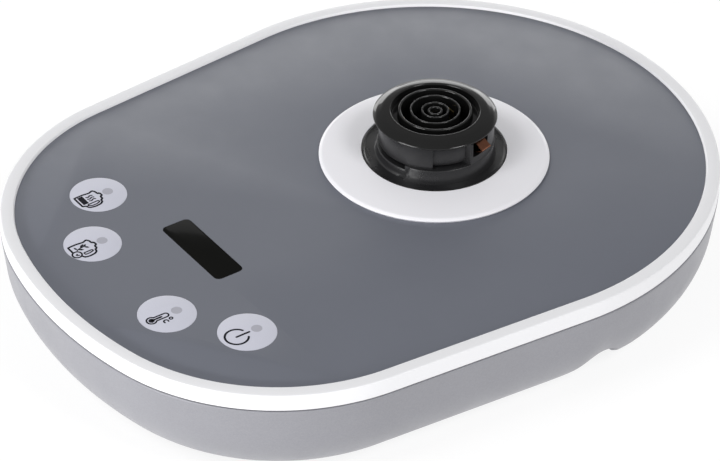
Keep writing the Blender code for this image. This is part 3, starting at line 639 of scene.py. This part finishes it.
def make_cover():
    """White cover: the rounded rim in full, and the plate with its posts and openings."""
    shape = bmesh.new()
    root = 1.15
    under_edge = [(root, RIM_BOTTOM), (RIM_WIDTH, RIM_BOTTOM), (RIM_WIDTH, -1.4)]
    outer_edge = [(RIM_WIDTH, -2.0), (RIM_WIDTH, RIM_TOP - 0.12), (1.0, RIM_TOP)]
    inner_edge = [(2.0, RIM_TOP), (0.2, RIM_TOP), (-0.12, 0.02)]
    section = [(-LIP_HALF, PLATE_BOTTOM), (-LIP_HALF, COVER_LIP), (LIP_HALF, COVER_LIP)]
    section += [(root, RIM_BOTTOM)]
    section += softened(under_edge, 0.3, 4)[1:-1]
    section += softened(outer_edge, COVER_ROUND, 7)[:-1]
    section += softened(inner_edge, 0.15, 4)[:-1]
    section += [(PANEL_EDGE + SEAM, 0.0), (PANEL_EDGE + SEAM, PLATE_TOP)]
    add_loft(shape, [[(x, y, z) for x, y in outline(offset)] for offset, z in section])
    cover = place_mesh("cover_shell", shape)
    posts = bmesh.new()
    foot = SCREW_SEAT + STORAGE_WALL + SEAT_GAP
    head = PLATE_BOTTOM + 0.8
    for centre in CASING_POSTS:
        add_turned(posts, [(POST_RADIUS, foot), (POST_RADIUS, head)], centre, 32)
    foot = CONTROL_BOARD_TOP + SEAT_GAP
    for centre in CONTROL_POSTS + CONTROL_PEGS:
        add_turned(posts, [(PEG_RADIUS, foot), (PEG_RADIUS, head)], centre, 24)
    cut(cover, [posts], "UNION")
    holes = bmesh.new()
    above = PLATE_TOP + 1
    below = PLATE_BOTTOM - 1
    add_turned(holes, [(TOWER_HOLE, below), (TOWER_HOLE, above)], steps=96)
    for x, y in KEY_CENTRES:
        for shift, radius in ((PLUNGER_SHIFT, PLUNGER_HOLE), (PIPE_SHIFT, PIPE_HOLE)):
            add_turned(holes, [(radius, below), (radius, above)], (x, y + shift), 24)
    play = 0.3
    window = (DISPLAY_SIZE[0] + play, DISPLAY_SIZE[1] + play)
    add_prism(holes, rounded_rectangle(DISPLAY_CENTRE, window, 1.1), below, above)
    for centre in CASING_POSTS:
        profile = [(CASING_PILOT, SCREW_SEAT), (CASING_PILOT, SCREW_SEAT + 13)]
        add_turned(holes, profile, centre, 20)
    for centre in CONTROL_POSTS:
        profile = [(BOARD_PILOT, CONTROL_BOARD_TOP - 1), (BOARD_PILOT, CONTROL_BOARD_TOP + 5)]
        add_turned(holes, profile, centre, 16)
    cut(cover, [holes])
    piece(cover, "base", "white_plastic", "top_cover", sharp=28)


def make_panel():
    """Grey film with a softly rounded edge, open at the ring, the keys and the display."""
    sheet = bmesh.new()
    section = [(0.0, FILM_BOTTOM), (0.0, -0.12), (-0.04, -0.04), (-0.12, 0.0)]
    add_loft(sheet, [[(x, y, z) for x, y in outline(PANEL_EDGE + step)] for step, z in section])
    film = place_mesh("panel_film", sheet)
    holes = bmesh.new()
    below = FILM_BOTTOM - 1
    above = 1
    radius = RING_FOOT + SEAM
    add_turned(holes, [(radius, below), (radius, above)], steps=TURN_STEPS)
    radius = KEY_RADIUS + SEAM
    for centre in KEY_CENTRES:
        add_turned(holes, [(radius, below), (radius, above)], centre, 96)
    window = (DISPLAY_SIZE[0] + 2 * SEAM, DISPLAY_SIZE[1] + 2 * SEAM)
    corner = DISPLAY_CORNER + SEAM
    add_prism(holes, rounded_rectangle(DISPLAY_CENTRE, window, corner), below, above)
    cut(film, [holes])
    piece(film, "base", "panel_film", "control_panel")


def make_ring():
    """White ring that rises to the connector, with an undercut outer edge and a fine edge inside."""
    ring = bmesh.new()
    shoulder = RING_OUTER - 1.0
    slope = (RING_TOP - RING_EDGE) / (shoulder - RING_INNER)
    outer = [(RING_FOOT, FILM_BOTTOM), (RING_FOOT, 0.05), (RING_OUTER, 0.72), (shoulder, RING_EDGE)]
    outer += [(shoulder - 3.0, RING_EDGE + 3.0 * slope)]
    inner = [(RING_INNER + 1.5, RING_TOP - 1.5 * slope), (RING_INNER, RING_TOP)]
    inner += [(RING_INNER, RING_TOP - 1.0)]
    loop = softened(outer, 0.3, 6)[:-1] + softened(inner, 0.28, 5)[1:]
    add_ring(ring, loop + [(RING_INNER, FILM_BOTTOM)], 240)
    trim = place_mesh("ring_trim", ring)
    piece(trim, "base", "white_plastic", "connector_ring", finish="ring_plastic")


def make_display():
    """Black window, flush with the panel."""
    glass = bmesh.new()
    rings = []
    for shrink, z in ((0, -2.6), (0, -0.1), (0.03, -0.03), (0.1, 0.0)):
        size = (DISPLAY_SIZE[0] - 2 * shrink, DISPLAY_SIZE[1] - 2 * shrink)
        plan = rounded_rectangle(DISPLAY_CENTRE, size, DISPLAY_CORNER - shrink)
        rings.append([(x, y, z) for x, y in plan])
    add_loft(glass, rings)
    piece(place_mesh("display_glass", glass), "base", "smoked_window", "display_window")


def make_feet():
    """Soft feet with a rounded rim and a shallow dish."""
    for i in range(1, 5):
        low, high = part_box(f"foot_{i}")
        centre = (low + high) / 2 - DATUM
        top = (high.z - DATUM.z) / MM
        bottom = (low.z - DATUM.z) / MM
        radius = (high.x - low.x) / 2 / MM
        profile = [(radius, top)]
        profile += softened([(radius, top), (radius, bottom), (radius - 2.2, bottom)], 0.5, 4)[1:]
        profile += [(radius - 2.5, bottom + 0.25), (1.0, bottom + 0.3)]
        foot = bmesh.new()
        add_turned(foot, profile, (centre.x / MM, centre.y / MM), 64)
        piece(place_mesh(f"rubber_foot_{i}", foot), "base", "rubber", f"foot_{i}")


def make_screws():
    """Casing screws with a cross recess, seen in their wells from below."""
    for i, centre in enumerate(CASING_POSTS, 1):
        seat = SCREW_SEAT - SEAT_GAP
        profile = [(1.2, seat - 2.1), (2.4, seat - 1.95), (3.1, seat - 1.4), (3.3, seat - 0.9)]
        profile += [(3.3, seat), (1.5, seat), (1.5, seat + 11), (0.4, seat + 12.3)]
        screw = bmesh.new()
        add_turned(screw, profile, centre, 40)
        made = place_mesh(f"screw_{i}", screw)
        slots = []
        for length, width in ((3.6, 0.8), (0.8, 3.6)):
            slot = bmesh.new()
            add_box(slot, (*centre, seat - 2.0), (length, width, 2.2), 20 * i)
            slots.append(slot)
        cut(made, slots)
        piece(made, "base", "zinc_steel", f"casing_screw_{i}")


# Keys


def stroke_outline(points, width, closed=False):
    """Left and right edges of a line of even width, with mitred joints."""
    count = len(points)
    left = []
    right = []
    for i, point in enumerate(points):
        p = Vector(point)
        before = Vector(points[(i - 1) % count]) if closed or i else None
        after = Vector(points[(i + 1) % count]) if closed or i < count - 1 else None
        inward = (p - before).normalized() if before is not None else (after - p).normalized()
        onward = (after - p).normalized() if after is not None else inward
        run = (inward + onward).normalized()
        side = Vector((-run.y, run.x)) * (width / 2) / max(0.5, run.dot(inward))
        left.append(p + side)
        right.append(p - side)
    return left, right


def add_stroke(bm, points, at, width=INK_WIDTH, closed=False):
    """A printed line as a thin raised ribbon on the key's face, with round ends."""
    left, right = stroke_outline(points, width, closed)
    if closed:
        rings = []
        top = INK_HEIGHT
        for a, b in zip(left, right):
            rings.append([(a.x, a.y, 0), (b.x, b.y, 0), (b.x, b.y, top), (a.x, a.y, top)])
        rows = [[bm.verts.new((Vector(p) + at) * MM) for p in ring] for ring in rings]
        for a, b in zip(rows, rows[1:] + rows[:1]):
            for k in range(4):
                bm.faces.new((a[k], a[(k + 1) % 4], b[(k + 1) % 4], b[k]))
        return
    start = Vector(points[0])
    end = Vector(points[-1])
    first = (start - Vector(points[1])).normalized()
    last = (end - Vector(points[-2])).normalized()
    edge = list(right)
    edge += round_end(end, last, width)
    edge += left[::-1]
    edge += round_end(start, first, width)
    add_patch(bm, edge, at)


def round_end(tip, run, width):
    """Points of the half circle that closes a line at tip."""
    side = Vector((run.y, -run.x)) * width / 2
    points = []
    for i in range(1, 6):
        angle = math.pi * i / 6
        points.append(tip + side * math.cos(angle) + run * (width / 2) * math.sin(angle))
    return points


def add_patch(bm, edge, at, height=INK_HEIGHT):
    """A printed area as a thin raised patch."""
    low = [bm.verts.new((Vector((p[0], p[1], 0)) + at) * MM) for p in edge]
    high = [bm.verts.new((Vector((p[0], p[1], height)) + at) * MM) for p in edge]
    count = len(edge)
    for i in range(count):
        j = (i + 1) % count
        bm.faces.new((low[i], low[j], high[j], high[i]))
    bm.faces.new(low[::-1])
    bm.faces.new(high)


def wave(x, low, high, swing):
    """Points of a rising steam line."""
    steps = 12
    points = []
    for i in range(steps + 1):
        t = i / steps
        points.append((x + swing * math.sin(2 * math.pi * t), low + (high - low) * t))
    return points


def leaf_shape(base, tip, width):
    """Pointed leaf between two points."""
    a = Vector(base)
    b = Vector(tip)
    run = b - a
    side = Vector((-run.y, run.x)).normalized() * width / 2
    steps = 8
    shares = [i / steps for i in range(steps + 1)]
    upper = [a + run * t + side * math.sin(math.pi * t) for t in shares]
    lower = [a + run * t - side * math.sin(math.pi * t) for t in shares[-2:0:-1]]
    return upper + lower


# Lines of the pictures, from the middle of the key face
KETTLE_SIDE = [(-2.2, -6.85), (-2.3, -3.9), (-2.05, -1.9), (-2.6, -0.62), (-1.75, -0.08), (-0.5, 0.05)]
KETTLE_KNOB = [(-0.5, 0.05), (-0.48, 0.68), (0.8, 0.74), (1.1, 0.02)]
KETTLE_BACK = [(1.1, 0.02), (2.3, 0.0), (2.6, -0.72), (3.55, -0.8), (4.2, -1.7), (4.42, -3.4)]
KETTLE_BACK += [(4.25, -4.7)]
KETTLE_FOOT = [(3.9, -5.5), (2.75, -5.95), (2.6, -6.85)]
KETTLE_SLOT = [(2.4, -1.5), (3.1, -1.4), (3.55, -2.6), (3.6, -4.2), (3.0, -5.25), (2.55, -5.0)]
SHORT_SLOT = [(2.2, -1.5), (2.75, -1.4), (3.15, -2.6), (3.2, -4.2), (2.3, -4.3)]
TEA_SPRIGS = (
    # foot, tip, width
    ((0.1, -5.1), (-1.35, -5.45), 0.6),
    ((0.1, -4.9), (0.95, -3.4), 0.7),
    ((-0.35, -3.9), (-1.35, -2.3), 0.75),
    ((-0.3, -2.75), (-0.95, -1.75), 0.75),
    ((-0.25, -2.75), (0.95, -1.6), 0.65),
)
FINE_LINE = 0.44


def draw_keep_warm(bm, at):
    """Kettle that is half full, with steam."""
    body = KETTLE_SIDE[:-1] + KETTLE_KNOB + KETTLE_BACK[1:] + KETTLE_FOOT
    add_stroke(bm, rounded_loop(body, 0.35), at, closed=True)
    add_stroke(bm, rounded_loop(KETTLE_SLOT, 0.3), at, FINE_LINE, closed=True)
    add_patch(bm, [(-1.75, -6.15), (2.05, -6.15), (2.05, -4.4), (-1.85, -4.4)], at)
    for x in (-0.7, 0.25, 1.2):
        add_stroke(bm, wave(x, -3.75, -1.75, 0.22), at, FINE_LINE)


def draw_tea(bm, at):
    """Kettle with a tea sprig and a small clock."""
    clock = (2.0, -6.3)
    back = KETTLE_BACK + [(3.95, -5.1), (3.3, -5.4)]
    body = [(0.55, -6.85), *KETTLE_SIDE[:-1], *KETTLE_KNOB, *back[1:]]
    add_stroke(bm, softened(body, 0.35), at)
    add_stroke(bm, rounded_loop(SHORT_SLOT, 0.3), at, FINE_LINE, closed=True)
    add_stroke(bm, arc(clock, 1.38, 0, 360, 36)[:-1], at, 0.5, closed=True)
    add_patch(bm, arc((clock[0] - 0.15, clock[1] + 0.1), 0.26, 0, 360, 14)[:-1], at)
    add_stroke(bm, [(2.0, -6.6), (2.45, -6.45), (2.55, -5.85)], at, 0.36)
    add_stroke(bm, softened([(0.35, -5.35), (-0.1, -4.4), (-0.3, -2.7)], 0.4), at, 0.38)
    for base, tip, width in TEA_SPRIGS:
        add_patch(bm, leaf_shape(base, tip, width), at)


def draw_thermometer(bm, at):
    """Thermometer beside a degree sign and a C."""
    middle = 0.25
    bulb = (middle, -5.2)
    bulb_radius = 1.42
    half = 0.84
    turn = math.degrees(math.acos(half / bulb_radius))
    edge = arc((middle, -0.6), half, 0, 180, 14)
    edge += arc(bulb, bulb_radius, 180 - turn, 360 + turn, 30)
    add_stroke(bm, edge, at, 0.48, closed=True)
    add_patch(bm, arc(bulb, 0.88, 0, 360, 28)[:-1], at)
    add_stroke(bm, [(middle, -5.0), (middle, -2.0)], at, 0.62)
    add_stroke(bm, arc((2.25, -0.12), 0.46, 0, 360, 20)[:-1], at, 0.42, closed=True)
    add_stroke(bm, arc((2.75, -2.0), 0.66, 60, 300, 18), at, 0.46)


def draw_power(bm, at):
    """Open circle with a line through its gap."""
    centre = (0.25, -3.6)
    width = 0.62
    add_stroke(bm, arc(centre, 3.3, 117, 418, 64), at, width)
    add_stroke(bm, [(0.28, -3.7), (0.28, 0.5)], at, width)


def make_keys():
    """Key faces with their plungers, light spots and printed pictures. Each rides on its own key."""
    drawings = (draw_keep_warm, draw_tea, draw_thermometer, draw_power)
    for i, (centre, draw) in enumerate(zip(KEY_CENTRES, drawings), 1):
        x, y = centre
        body = f"key_{i}"
        disc = bmesh.new()
        profile = [(KEY_RADIUS, KEY_BOTTOM), (KEY_RADIUS, -0.08)]
        profile += [(KEY_RADIUS - 0.03, -0.02), (KEY_RADIUS - 0.1, 0)]
        add_turned(disc, profile, centre, 96)
        face = place_mesh(f"key_face_{i}", disc)
        plunger = bmesh.new()
        profile = [(1.5, -5.2), (1.8, -4.9), (1.8, -0.5)]
        add_turned(plunger, profile, (x, y + PLUNGER_SHIFT), 28)
        cut(face, [plunger], "UNION")
        hole = bmesh.new()
        spot = (x + DOT_CENTRE[0], y + DOT_CENTRE[1])
        radius = DOT_RADIUS + SEAM / 2
        add_turned(hole, [(radius, -2), (radius, 1)], spot, 48)
        cut(face, [hole])
        piece(face, body, "key_print", f"key_cap_{i}")
        pipe = bmesh.new()
        add_turned(pipe, [(1.5, -4.8), (DOT_RADIUS, KEY_BOTTOM), (DOT_RADIUS, -0.02)], spot, 48)
        piece(place_mesh(f"key_spot_{i}", pipe), body, "light_pipe", f"key_light_pipe_{i}")
        print_mesh = bmesh.new()
        draw(print_mesh, Vector((x, y, 0.0)))
        piece(place_mesh(f"key_picture_{i}", print_mesh), body, "black_plastic", finish="key_ink")


# Connector


def sector(loop, start, end):
    """Part of a turned ring between two angles."""
    bm = bmesh.new()
    add_ring(bm, loop, max(8, round((end - start) / 2)), start, end - start)
    return bm


def make_housing():
    """Flange, stepped neck with its recess, collar, and the shoulder round the earth contact."""
    rim = FLANGE_TOP + 0.25
    edge = FLANGE_RADIUS
    bottom = -9.0
    loop = [(NECK_INNER, bottom), (16.9, bottom), (16.9, FILM_BOTTOM)]
    flange = [(edge, FILM_BOTTOM), (edge, rim), (edge - 0.5, rim), (edge - 0.9, FLANGE_TOP)]
    flange += [(18.5, FLANGE_TOP)]
    ledge = [(18.0, FLANGE_TOP), (LEDGE_RADIUS + 0.3, FLANGE_TOP), (LEDGE_RADIUS, 3.0)]
    ledge += [(LEDGE_RADIUS - 0.1, LEDGE_TOP), (15.4, LEDGE_TOP)]
    loop += softened(flange, 0.25, 3)
    loop += softened(ledge, 0.3, 3)
    loop += [(14.5, LEDGE_TOP), (14.5, NECK_TOP), (NECK_INNER, NECK_TOP)]
    body = bmesh.new()
    add_ring(body, loop)
    housing = place_mesh("tower_housing", body)

    inside = 14.2
    top = NECK_TOP - 0.1
    sleeve = [(inside, SLEEVE_BOTTOM), (NECK_OUTER, SLEEVE_BOTTOM), (NECK_OUTER, top), (inside, top)]
    head = top - 0.05
    recess = [(inside, RECESS_BOTTOM), (RECESS_RADIUS, RECESS_BOTTOM), (RECESS_RADIUS, head)]
    recess += [(inside, head)]
    collar = [(inside, 1.6), (COLLAR_ROOT + 0.1, 1.6), (COLLAR_ROOT, FLANGE_TOP + 0.1)]
    collar += [(COLLAR_RADIUS, COLLAR_TOP), (inside, COLLAR_TOP)]
    parts = [sector(softened(sleeve, 0.2, 3), SHOULDER_END - 2, 360 + STEP_ANGLE)]
    parts += [sector(softened(recess, 0.2, 3), STEP_ANGLE - 3, SHOULDER_START + 3)]
    parts += [sector(softened(collar, 0.22, 3), COLLAR_START, SHOULDER_END + 2)]
    shoulder = bmesh.new()
    add_prism(shoulder, shoulder_plan(inside - 0.05), COLLAR_TOP - 1, top + 0.05)
    parts.append(shoulder)
    cut(housing, parts, "UNION")
    cut(housing, [slanted_end(), earth_window()])
    piece(housing, "base", "black_plastic", "connector_housing", sharp=40)


def polar(radius, angle):
    """Point in plan at a radius and an angle in degrees."""
    turn = math.radians(angle)
    return (radius * math.cos(turn), radius * math.sin(turn))


def shoulder_plan(inside):
    """Plan of the shoulder, whose end towards the recess slants and has a rounded corner."""
    corner = [polar(inside, SHOULDER_BACK), polar(SHOULDER_RADIUS, SHOULDER_START),
              polar(SHOULDER_RADIUS, SHOULDER_START + 4)]
    face = arc((0, 0), SHOULDER_RADIUS, SHOULDER_START + 4, SHOULDER_END, 36)
    back = arc((0, 0), inside, SHOULDER_END, SHOULDER_BACK, 36)
    return softened(corner, 0.6, 5)[:-1] + face + back[:-1]


def slanted_end():
    """Cutter that slants the collar's left end."""
    bm = bmesh.new()
    turn = Matrix.Rotation(math.radians(COLLAR_START), 3, "Z")
    foot = FLANGE_TOP + 0.12
    head = COLLAR_TOP + 0.5
    section = [(-2.0, foot), (0.05, foot), (2.2, head), (-2.0, head)]
    add_loft(bm, [[turn @ Vector((r, y, z)) for y, z in section] for r in (LEDGE_RADIUS + 0.04, 20.0)])
    return bm


def earth_window():
    """Cutter for the opening round the earth contact, with a sloping sill."""
    bm = bmesh.new()
    turn = Matrix.Rotation(math.radians(EARTH_ANGLE), 3, "Z")
    near = 13.0
    far = 18.5
    head = NECK_TOP + 1
    section = [(near, EARTH_SILL - 0.6), (far, EARTH_SILL), (far, head), (near, head)]
    half = EARTH_OPENING / 2
    add_loft(bm, [[turn @ Vector((r, y, z)) for r, z in section] for y in (half, -half)])
    return bm


def make_cap():
    """Swivel cap: a smooth brim round deep ring grooves, with rounded ridges between them."""
    edges = [(SOCKET_RADIUS, SOCKET_FLOOR)]
    for inner, outer, floor, land in GROOVES:
        edges += [(edges[-1][0], land), (inner, land), (inner, floor), (outer, floor)]
    wall = edges[-1][0]
    edges.append((wall, TOWER_TOP - 1.0))
    profile = softened(edges, RIDGE_ROUND, 6)
    brim = [(wall, TOWER_TOP - 0.9), (wall + 0.1, TOWER_TOP), (15.4, 16.12), (17.2, 15.45)]
    brim += [(BRIM_RADIUS, 14.75), (BRIM_RADIUS - 0.45, 14.1), (16.8, 13.98)]
    profile += softened(brim, 0.5, 6)
    profile += [(13.6, 13.98), (13.6, 12.4), (CAP_BODY, 12.4), (CAP_BODY, -5.7)]
    profile += [(9.4, -5.7), (9.4, 2.5)]
    head = bmesh.new()
    add_turned(head, profile, steps=TURN_STEPS)
    cap = place_mesh("tower_cap", head)
    slots = bmesh.new()
    for angle, radius, travel, width in CONTACTS:
        turn = Matrix.Rotation(math.radians(angle), 3, "Z")
        play = 0.6
        room = (LEAF_THICKNESS + play + abs(travel), width + play, 6.0)
        add_box(slots, turn @ Vector((radius + travel / 2, 0, 4.5)), room, angle)
    cut(cap, [slots])
    piece(cap, "base", "black_plastic", "connector_cap", finish="cap_plastic", sharp=40)


def make_contacts():
    """Copper earth strip with its bulge in the window. The brass leaves show as they are."""
    leaf = bmesh.new()
    line = [(EARTH_RADIUS, LEAF_BOTTOM), (EARTH_RADIUS, EARTH_SILL + 0.6), (16.8, EARTH_SILL + 1.1)]
    line += [(19.4, 11.3), (16.1, 13.35)]
    add_strip(leaf, softened(line, 0.6, 6), LEAF_THICKNESS, EARTH_WIDTH, EARTH_ANGLE)
    piece(place_mesh("earth_strip", leaf), "earth_contact", "copper", "earth_contact")


# Inside parts


def paint_inside(record):
    """Gives every CAD node that still shows the finish of its slot."""
    slots = {sub["node"]: sub["material_slot"] for sub in record["subparts"]}
    for name, made in frame["nodes"].items():
        if made.hide_render:
            continue
        made.data.materials.clear()
        made.data.materials.append(paint[slots[name]])


# Stage


def make_stage():
    """Pale floor, soft sky and softboxes."""
    mesh = bpy.data.meshes.new("floor")
    half = FLOOR_HALF
    corners = [(-half, -half, TABLE), (half, -half, TABLE), (half, half, TABLE), (-half, half, TABLE)]
    mesh.from_pydata(corners, [], [(0, 1, 2, 3)])
    floor = bpy.data.objects.new("floor", mesh)
    bpy.context.scene.collection.objects.link(floor)
    finish = bpy.data.materials.new("floor_paint")
    finish.use_nodes = True
    shader = finish.node_tree.nodes["Principled BSDF"]
    shader.inputs["Base Color"].default_value = (FLOOR_COLOUR, FLOOR_COLOUR, FLOOR_COLOUR, 1.0)
    shader.inputs["Roughness"].default_value = FLOOR_ROUGHNESS
    shader.inputs["Specular IOR Level"].default_value = FLOOR_SPECULAR
    shader.inputs["Emission Color"].default_value = (1.0, 1.0, 1.0, 1.0)
    shader.inputs["Emission Strength"].default_value = FLOOR_GLOW
    mesh.materials.append(finish)

    make_sky()
    for light in LIGHTS:
        add_light(*light)


def make_sky():
    """Soft sky that is bright near the horizon and dimmer overhead."""
    world = bpy.data.worlds.new("studio")
    world.use_nodes = True
    tree = world.node_tree
    place = node(tree, "ShaderNodeTexCoord")
    split = node(tree, "ShaderNodeSeparateXYZ")
    fade = node(tree, "ShaderNodeMapRange", interpolation_type="SMOOTHSTEP")
    low, high = SKY_EDGES
    fade.inputs["From Min"].default_value = math.sin(math.radians(low))
    fade.inputs["From Max"].default_value = math.sin(math.radians(high))
    fade.inputs["To Min"].default_value = SKY_LOW
    fade.inputs["To Max"].default_value = SKY_HIGH
    tree.links.new(place.outputs["Generated"], split.inputs["Vector"])
    tree.links.new(split.outputs["Z"], fade.inputs["Value"])
    sky = tree.nodes["Background"]
    sky.inputs["Color"].default_value = (1.0, 1.0, 1.0, 1.0)
    tree.links.new(fade.outputs["Result"], sky.inputs["Strength"])
    bpy.context.scene.world = world


def direction(azimuth, elevation):
    """Unit vector from the object towards a place, with azimuth 0 in front of the key end (-Y)."""
    a = math.radians(azimuth)
    e = math.radians(elevation)
    return Vector((math.sin(a) * math.cos(e), -math.cos(a) * math.cos(e), math.sin(e)))


def add_light(name, azimuth, elevation, distance, width, height, power):
    """Softbox that faces the object. Distance and size are in metres."""
    data = bpy.data.lights.new(name, "AREA")
    data.shape = "RECTANGLE"
    data.size = width
    data.size_y = height
    data.energy = power
    lamp = bpy.data.objects.new(name, data)
    aim = direction(azimuth, elevation)
    lamp.location = aim * distance
    lamp.rotation_euler = aim.to_track_quat("Z", "Y").to_euler()
    lamp.visible_camera = False
    bpy.context.scene.collection.objects.link(lamp)


def make_camera():
    """Camera at the photograph's viewpoint, with its slight roll."""
    back = direction(VIEW_AZIMUTH, VIEW_ELEVATION)
    right = (-back).cross(Vector((0, 0, 1))).normalized()
    up = right.cross(-back)
    roll = math.radians(VIEW_ROLL)
    across = right * math.cos(roll) + up * math.sin(roll)
    upward = up * math.cos(roll) - right * math.sin(roll)
    data = bpy.data.cameras.new("camera")
    data.lens = VIEW_LENS
    data.sensor_width = SENSOR
    data.clip_start = CLIP_NEAR
    data.clip_end = CLIP_FAR
    camera = bpy.data.objects.new("camera", data)
    turn = Matrix((across, upward, back)).transposed().to_4x4()
    target = DATUM + Vector(VIEW_TARGET) * MM
    camera.matrix_world = Matrix.Translation(target + back * VIEW_DISTANCE * MM) @ turn
    bpy.context.scene.collection.objects.link(camera)
    bpy.context.scene.camera = camera


# Colour, roughness, grain, bump, mottle and spread of each finish
paint = {
    "white_plastic": surface("white_plastic", (0.82, 0.82, 0.84), 0.30, 0.5, 0.02, 0.004, 0.02),
    "ring_plastic": surface("ring_plastic", (0.835, 0.83, 0.865), 0.30, 0.5, 0.02, 0.004, 0.02),
    "grey_plastic": surface("grey_plastic", (0.266, 0.266, 0.291), 0.36, 0.3, 0.05, 0.03, fleck=0.06),
    "panel_film": surface("panel_film", (0.138, 0.147, 0.176), 0.48, 0.25, 0.04, 0.02, 0.03),
    "key_print": surface("key_print", (0.585, 0.592, 0.675), 0.45, 0.25, 0.03, 0.02),
    "light_pipe": surface("light_pipe", (0.40, 0.40, 0.455), 0.4, 0.25, 0.02, 0.03),
    "key_ink": surface("key_ink", (0.004, 0.004, 0.010), 0.5, 0.2, 0.02, 0.1, ior=1.2),
    "smoked_window": surface(
        "smoked_window", (0.0085, 0.0085, 0.008), 0.1, 0.4, 0.0, 0.1, 0.02, ior=1.05
    ),
    "black_plastic": surface("black_plastic", (0.014, 0.014, 0.015), 0.30, 0.4, 0.08, 0.12),
    "cap_plastic": surface("cap_plastic", (0.008, 0.008, 0.008), 0.08, 0.4, 0.03, 0.12),
    "rubber": surface("rubber", (0.03, 0.03, 0.03), 0.75, 0.4, 0.15, 0.1),
    "copper": surface("copper", (0.27, 0.115, 0.07), 0.22, 0.6, 0.03, 0.12, metallic=1.0, blotch=3.0),
    "brass": surface("brass", (0.45, 0.34, 0.16), 0.3, 0.6, 0.03, 0.08, metallic=1.0, blotch=3.0),
    "zinc_steel": surface("zinc_steel", (0.62, 0.62, 0.64), 0.28, 0.6, 0.03, 0.05, metallic=1.0),
    "circuit_board": surface("circuit_board", (0.02, 0.12, 0.05), 0.4, 0.5, 0.05, 0.15),
    "lamp": surface("lamp", (0.8, 0.8, 0.75), 0.15, 0.5, 0.0, 0.02),
    "relay_case": surface("relay_case", (0.05, 0.1, 0.3), 0.4, 0.4, 0.05, 0.05),
    "transformer_tape": surface("transformer_tape", (0.75, 0.6, 0.1), 0.4, 0.8, 0.1, 0.08),
    "capacitor_sleeve": surface("capacitor_sleeve", (0.05, 0.06, 0.09), 0.3, 0.5, 0.03, 0.08),
    "fuse_body": surface("fuse_body", (0.7, 0.66, 0.55), 0.5, 0.5, 0.08, 0.06),
    "green_plastic": surface("green_plastic", (0.1, 0.35, 0.12), 0.45, 0.4, 0.05, 0.05),
    "brown_insulation": surface("brown_insulation", (0.2, 0.08, 0.03), 0.5, 0.4, 0.05, 0.05),
    "blue_insulation": surface("blue_insulation", (0.03, 0.12, 0.5), 0.5, 0.4, 0.05, 0.05),
}

make_camera()
make_casing()
make_cover()
make_panel()
make_ring()
make_display()
make_keys()
make_housing()
make_cap()
make_contacts()
make_feet()
make_screws()
paint_inside(frame["record"])
make_stage()
bpy.context.scene.view_settings.view_transform = "Standard"
